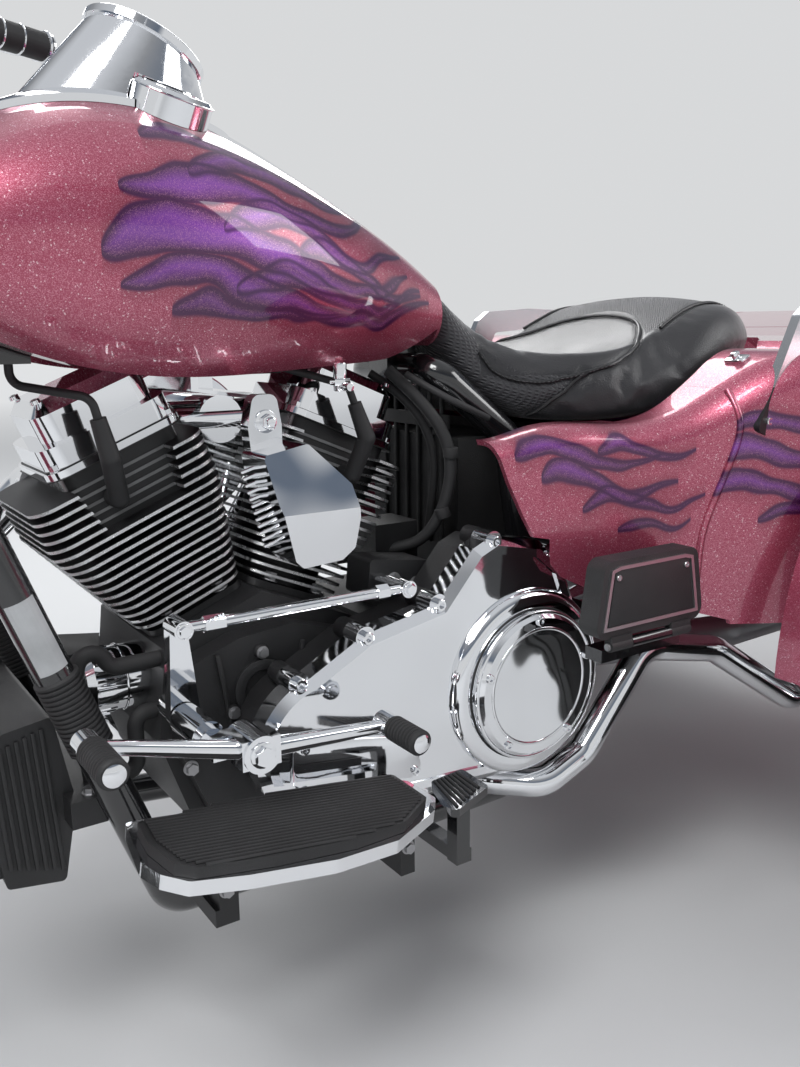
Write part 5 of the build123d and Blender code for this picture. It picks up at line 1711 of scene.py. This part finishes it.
@dataclass
class FrontEnd:
    """Lamp rims and lenses, mirror glass, fork collars, brake discs, levers and grip rings."""

    head_x: float = 1330.0
    rake: float = math.radians(26.0)
    foot_x: float = 1770.0
    axle_x: float = 1670.0
    axle_z: float = 319.0
    leg_y: float = 110.0
    lamp_z: float = 900.0
    side_lamp: tuple = (205, 770)
    turn_lamp: tuple = (176, 682)
    calipers: tuple = ((-84, 84), (-40, 84), (-84, 126), (-40, 126))
    lever: tuple = ((1078, 380, 1088), (1104, 386, 1084), (1092, 398, 1082), (1030, 413, 1078), (960, 430, 1072),
                    (930, 434, 1072))

    def on_fork(self, x: float, y: float, s: float) -> Vector:
        """Point of the fork's own frame: ahead of the steering axis, to the left and up it."""
        return at(self.foot_x + x * math.cos(self.rake) - s * math.sin(self.rake), y,
                  x * math.sin(self.rake) + s * math.cos(self.rake))

    def build(self) -> None:
        """Make the front end's trim."""
        self.lamps()
        self.fork()
        self.bars()

    def lamps(self) -> None:
        """Headlamp and side lamps with rims and ribbed lenses, and the turn lamps below."""
        lens_x = self.head_x + 200
        rims = Piece("headlamp_rim", Palette.CHROME, "steering")
        rims.ring(at(lens_x + 4, 0, self.lamp_z), AHEAD, 101, 9.0, 96, 14)
        rims.ring(at(lens_x + 15, 0, self.lamp_z), AHEAD, 89.5, 2.4, 96, 10)
        y, z = self.side_lamp
        centres = [at(lens_x, side * y, z) for side in SIDES]
        for centre in centres:
            rims.ring(centre, AHEAD, 53, 4.0, 72, 10)
        rims.finish_up()
        lenses = Piece("side_lamp_lenses", Palette.CLEAR, "steering")
        for centre in centres:
            lenses.lathe([(0.02, -1), (49, -1), (48, 3), (30, 6.5), (0.02, 8)], centre, AHEAD, 64)
        lenses.finish_up()
        amber = Piece("turn_lamps", Palette.AMBER, "steering")
        cups = Piece("turn_lamp_cups", Palette.CHROME, "steering")
        for side in SIDES:
            foot = at(self.head_x + 170, side * y, 713.5)
            cup = at(self.head_x + self.turn_lamp[0], side * y, self.turn_lamp[1])
            cups.rod(foot, foot - UP * 0.008, 6.0, sides=20)
            cups.lathe([(0.02, -18), (16, -16), (24, -6), (25, 6), (22, 6), (0.02, 5)], cup, AHEAD, 48)
            amber.lathe([(0.02, 5), (22, 5), (20, 11), (0.02, 14)], cup, AHEAD, 48)
        amber.finish_up()
        cups.finish_up()
        ribs = Piece("headlamp_ribs", Palette.CLEAR, "steering")
        for index in range(-6, 7):
            y = index * 11.5
            half = math.sqrt(max(0.0, 76.0 ** 2 - y * y))
            middle = at(lens_x + 21.6, y, self.lamp_z)
            ribs.rod(middle - UP * (half / 1000), middle + UP * (half / 1000), 1.6, sides=8)
        ribs.finish_up()

    def fork(self) -> None:
        """Collars, axle nuts, caps, disc carriers and caliper bolts."""
        piece = Piece("fork_trim", Palette.CHROME, "steering")
        dark = Piece("fork_seals", Palette.RUBBER, "steering")
        up = self.on_fork(0, 0, 1) - self.on_fork(0, 0, 0)
        behind, sine, cosine = self.foot_x - self.axle_x, math.sin(self.rake), math.cos(self.rake)
        offset = self.axle_z * sine - behind * cosine
        axle = behind * sine + self.axle_z * cosine
        for side in SIDES:
            y, way = side * self.leg_y, LEFT * side
            dark.ring(self.on_fork(offset, y, 652), up, 27.0, 3.6, 56, 8)
            piece.ring(self.on_fork(offset, y, 640), up, 29.6, 2.2, 56, 8)
            piece.rod(self.on_fork(offset, y, 993.5), self.on_fork(offset, y, 1000), 15.0, sides=6, soft=1.0)
            piece.bolt(self.on_fork(offset, y, axle) + way * 0.020, way, 13.0, 8.0)
        piece.rod(self.on_fork(0, 0, 986), self.on_fork(0, 0, 996), 19.0, sides=6, soft=1.5)
        piece.finish_up()
        dark.finish_up()
        bolts = Piece("caliper_bolts", Palette.CHROME, "steering")
        for side in SIDES:
            for x, s in self.calipers:
                bolts.screw(self.on_fork(offset + x, side * 92, axle + s), LEFT * side, 5.0, 3.5)
        bolts.finish_up()
        discs = Piece("brake_disc_carriers", Palette.DISC, "front_wheel")
        for side in SIDES:
            centre = at(self.axle_x, side * 67, self.axle_z)
            axis = LEFT * side
            discs.lathe([(112, -0.6), (144, -0.6), (144, 0.3), (112, 0.3)], centre, axis, 96)
            rows = [round_spots(centre, 118 + 7 * row, 36) for row in range(3)]
            for index in range(36):
                discs.ring(rows[index % 3][index] + axis * 0.0003, axis, 3.4, 0.5, 12, 4)
            for spot in round_spots(centre, 60, 5):
                discs.screw(spot, axis, 6.0, 4.0)
        discs.finish_up()

    def bars(self) -> None:
        """Levers, grip rings, switch buttons and mirror glass."""
        levers = Piece("hand_levers", Palette.CHROME, "steering")
        rings = Piece("grip_rings", Palette.CHROME, "steering")
        buttons = Piece("switch_buttons", Palette.RUBBER, "steering")
        glass = Piece("mirror_faces", Palette.GLASS, "steering")
        for side in SIDES:
            start, end = at(1044.7, side * 385, 1090), at(915, side * 424, 1080)
            way = (end - start).normalized()
            levers.tube([at(x, side * y, z) for x, y, z in self.lever], 5.0, 3)
            levers.rod(at(932, side * 434, 1072), at(920, side * 436, 1072), 8.0, 6.5, soft=2.0)
            for share, radius, thick in ((0.02, 18.0, 2.4), (0.965, 18.0, 2.4), (0.30, 17.7, 1.5),
                                         (0.50, 17.7, 1.5), (0.70, 17.7, 1.5)):
                rings.ring(start + (end - start) * share, way, radius, thick, 56, 8)
            rings.lathe([(0.02, -1), (17.5, -1), (17.5, 2.5), (12, 5), (0.02, 6)], end, way, 48)
            for x, z in ((1064, 1114), (1056, 1113)):
                buttons.rod(at(x, side * 383, z - 3), at(x, side * 383, z + 2.4), 4.0, sides=16, soft=0.8)
            glass.rod(at(1034.6, side * 440, 1224.0), at(1033.2, side * 440, 1224.1), 46.0, sides=72)
        levers.finish_up()
        rings.finish_up()
        buttons.finish_up()
        glass.finish_up()


@dataclass
class ExhaustTrim:
    """Clamps, muffler rings and dark tips of the exhaust."""

    y: float = 245.0
    z: float = 236.0

    def build(self) -> None:
        """Make the trim."""
        clamps = Piece("exhaust_clamps", Palette.STEEL)
        tips = Piece("muffler_tips", Palette.INK)
        for side in SIDES:
            clamps.ring(at(146, side * self.y, self.z), AHEAD, 24.6, 2.0, 56, 8)
            clamps.bolt(at(146, side * self.y, self.z - 25), -UP, 4.5, 5.0)
            for x in (92, -558):
                clamps.ring(at(x, side * self.y, self.z), AHEAD, 42.0, 1.3, 72, 8)
            tips.rod(at(-609.4, side * self.y, self.z), at(-610.2, side * self.y, self.z), 31.0, sides=56)
        for x, z in ((1045, 558), (731, 558)):
            clamps.ring(at(x, -92, z), LEFT, 24.0, 3.0, 48, 8)
        clamps.finish_up()
        tips.finish_up()


@dataclass
class Studio:
    """Camera at the photograph's place, pale floor and soft light."""

    eye: tuple = (1.3113, 0.9911, 0.719)
    yaw: float = math.radians(33.67)
    pitch: float = math.radians(11.77)
    roll: float = math.radians(0.56)
    lens: float = 33.42
    pale: tuple = (0.72, 0.73, 0.74)
    floor_tone: float = 0.80
    floor_fade: tuple = (2.6, 10.0)
    light_colour: tuple = (0.93, 0.96, 1.0)
    light_level: float = 0.5
    shown_level: float = 0.95
    dusk: tuple = (0.13, 0.16, 0.21)
    horizon: tuple = (0.295, 0.375)
    upper: tuple = ((0.62, 0.30), (0.80, 0.62))
    lamps: tuple = (
        ("key", (3.3, 1.6, 4.2), (0.7, 0, 0.5), 2.3, 185.0),
        ("fill", (-2.9, 2.6, 3.0), (0.4, 0, 0.5), 2.2, 70.0),
        ("back", (-0.6, -3.0, 3.0), (0.6, 0, 0.5), 2.4, 90.0),
    )

    def camera(self) -> None:
        """Set the camera."""
        ahead = Vector((-math.sin(self.yaw), -math.cos(self.yaw), 0))
        right = ahead.cross(UP)
        look = math.cos(self.pitch) * ahead - math.sin(self.pitch) * UP
        down = -math.sin(self.pitch) * ahead - math.cos(self.pitch) * UP
        side = math.cos(self.roll) * right + math.sin(self.roll) * down
        under = -math.sin(self.roll) * right + math.cos(self.roll) * down
        data = bpy.data.cameras.new("photo_camera")
        data.sensor_fit = "VERTICAL"
        data.sensor_height = 36.0
        data.lens = self.lens
        data.clip_start = 0.02
        camera = bpy.data.objects.new("photo_camera", data)
        bpy.context.collection.objects.link(camera)
        turn = Matrix((side, -under, -look)).transposed()
        camera.matrix_world = Matrix.Translation(Vector(self.eye) + AHEAD * AXLE_X) @ turn.to_4x4()
        bpy.context.scene.camera = camera

    def floor(self) -> None:
        """Lay the pale floor."""
        mesh = bpy.data.meshes.new("studio_floor")
        work = bmesh.new()
        bmesh.ops.create_circle(work, cap_ends=True, segments=64, radius=40.0)
        work.to_mesh(mesh)
        work.free()
        plate = bpy.data.objects.new("studio_floor", mesh)
        bpy.context.collection.objects.link(plate)
        graph = Surface("pale_floor")
        away = graph.add("ShaderNodeVectorMath", operation="LENGTH")
        graph.link(graph.place(), away.inputs[0])
        share = graph.span(away.outputs["Value"], *self.floor_fade, 0.0, self.shown_level)
        near = tuple(part * self.floor_tone for part in self.pale)
        graph.set(Base_Color=graph.blend(share, near, (0.0, 0.0, 0.0)), Roughness=0.75,
                  Emission_Color=(*self.pale, 1.0), Emission_Strength=graph.math("MULTIPLY", graph.seen(), share))
        mesh.materials.append(graph.material)

    def world(self) -> None:
        """Light the scene from all round, with a background that is pale low down and darker above."""
        world = bpy.data.worlds.new("studio_world")
        bpy.context.scene.world = world
        world.use_nodes = True
        graph = Graph(world.node_tree)
        light = graph.add("ShaderNodeBackground")
        graph.feed(light.inputs[0], self.light_colour)
        graph.feed(light.inputs[1], self.light_level)
        shown = graph.add("ShaderNodeBackground")
        graph.feed(shown.inputs[1], self.shown_level)
        split = graph.add("ShaderNodeSeparateXYZ")
        graph.link(graph.add("ShaderNodeTexCoord").outputs["Generated"], split.inputs[0])
        ramp = graph.add("ShaderNodeValToRGB")
        graph.link(split.outputs[2], ramp.inputs[0])
        graph.link(ramp.outputs[0], shown.inputs[0])
        stops = ramp.color_ramp.elements
        for stop, height, colour in zip(stops, self.horizon, (self.pale, self.dusk)):
            stop.position, stop.color = height, (*colour, 1)
        for height, grey in self.upper:
            stops.new(height).color = (grey, grey * 1.03, grey * 1.08, 1)
        mix = graph.add("ShaderNodeMixShader")
        graph.link(graph.seen(), mix.inputs[0])
        graph.link(light.outputs[0], mix.inputs[1])
        graph.link(shown.outputs[0], mix.inputs[2])
        graph.link(mix.outputs[0], graph.add("ShaderNodeOutputWorld").inputs[0])

    def lamp(self, name: str, place: tuple, target: tuple, size: float, power: float) -> None:
        """Hang a square soft lamp.

        Args:
            name: Name of the lamp.
            place: Its place from the rear axle.
            target: Point that it faces.
            size: Its side in metres.
            power: Its power in watts.
        """
        data = bpy.data.lights.new(name, "AREA")
        data.size = size
        data.energy = power
        lamp = bpy.data.objects.new(name, data)
        bpy.context.collection.objects.link(lamp)
        start = Vector(place) + AHEAD * AXLE_X
        aim = Vector(target) + AHEAD * AXLE_X - start
        lamp.matrix_world = Matrix.Translation(start) @ aim.to_track_quat("-Z", "Y").to_matrix().to_4x4()

    def build(self) -> None:
        """Set up the whole studio."""
        self.camera()
        self.floor()
        self.world()
        for row in self.lamps:
            self.lamp(*row)
        bpy.context.scene.view_settings.view_transform = "Standard"


def dress_nodes() -> None:
    """Give every CAD node its finish."""
    for finish, names in NODE_FINISH.items():
        for name in names:
            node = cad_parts.get(name)
            if node is None:
                continue
            for slot in node.material_slots:
                slot.material = finish.value.material()
            log.info("%s: %s", name, finish.value.name)


def main() -> None:
    """Build the scene."""
    Studio().build()
    dress_nodes()
    Tyre("front_tyre", "front_wheel", 1670, 0, 319, 241, 65).build()
    Tyre("rear_tyre_left", "rear_wheel_left", 0, 590, 324, 190, 102.0).build()
    Tyre("rear_tyre_right", "rear_wheel_right", 0, -590, 324, 190, 102.0).build()
    WheelTrim("front_wheel", 1670, 319, ((62, 1), (-62, -1)), 0, 0, 18, 241).build()
    WheelTrim("rear_wheel_left", 0, 324, ((650, 1),), 5, 38, 22, 190).build()
    WheelTrim("rear_wheel_right", 0, 324, ((-650, -1),), 5, 38, 22, 190).build()
    for kind in (Engine, HornTrim, Controls, PassengerBoards, FrameTrim, Dash, BodyTrim, FrontEnd, ExhaustTrim,
                 Seat):
        kind().build()


if __name__ == "__main__":
    main()
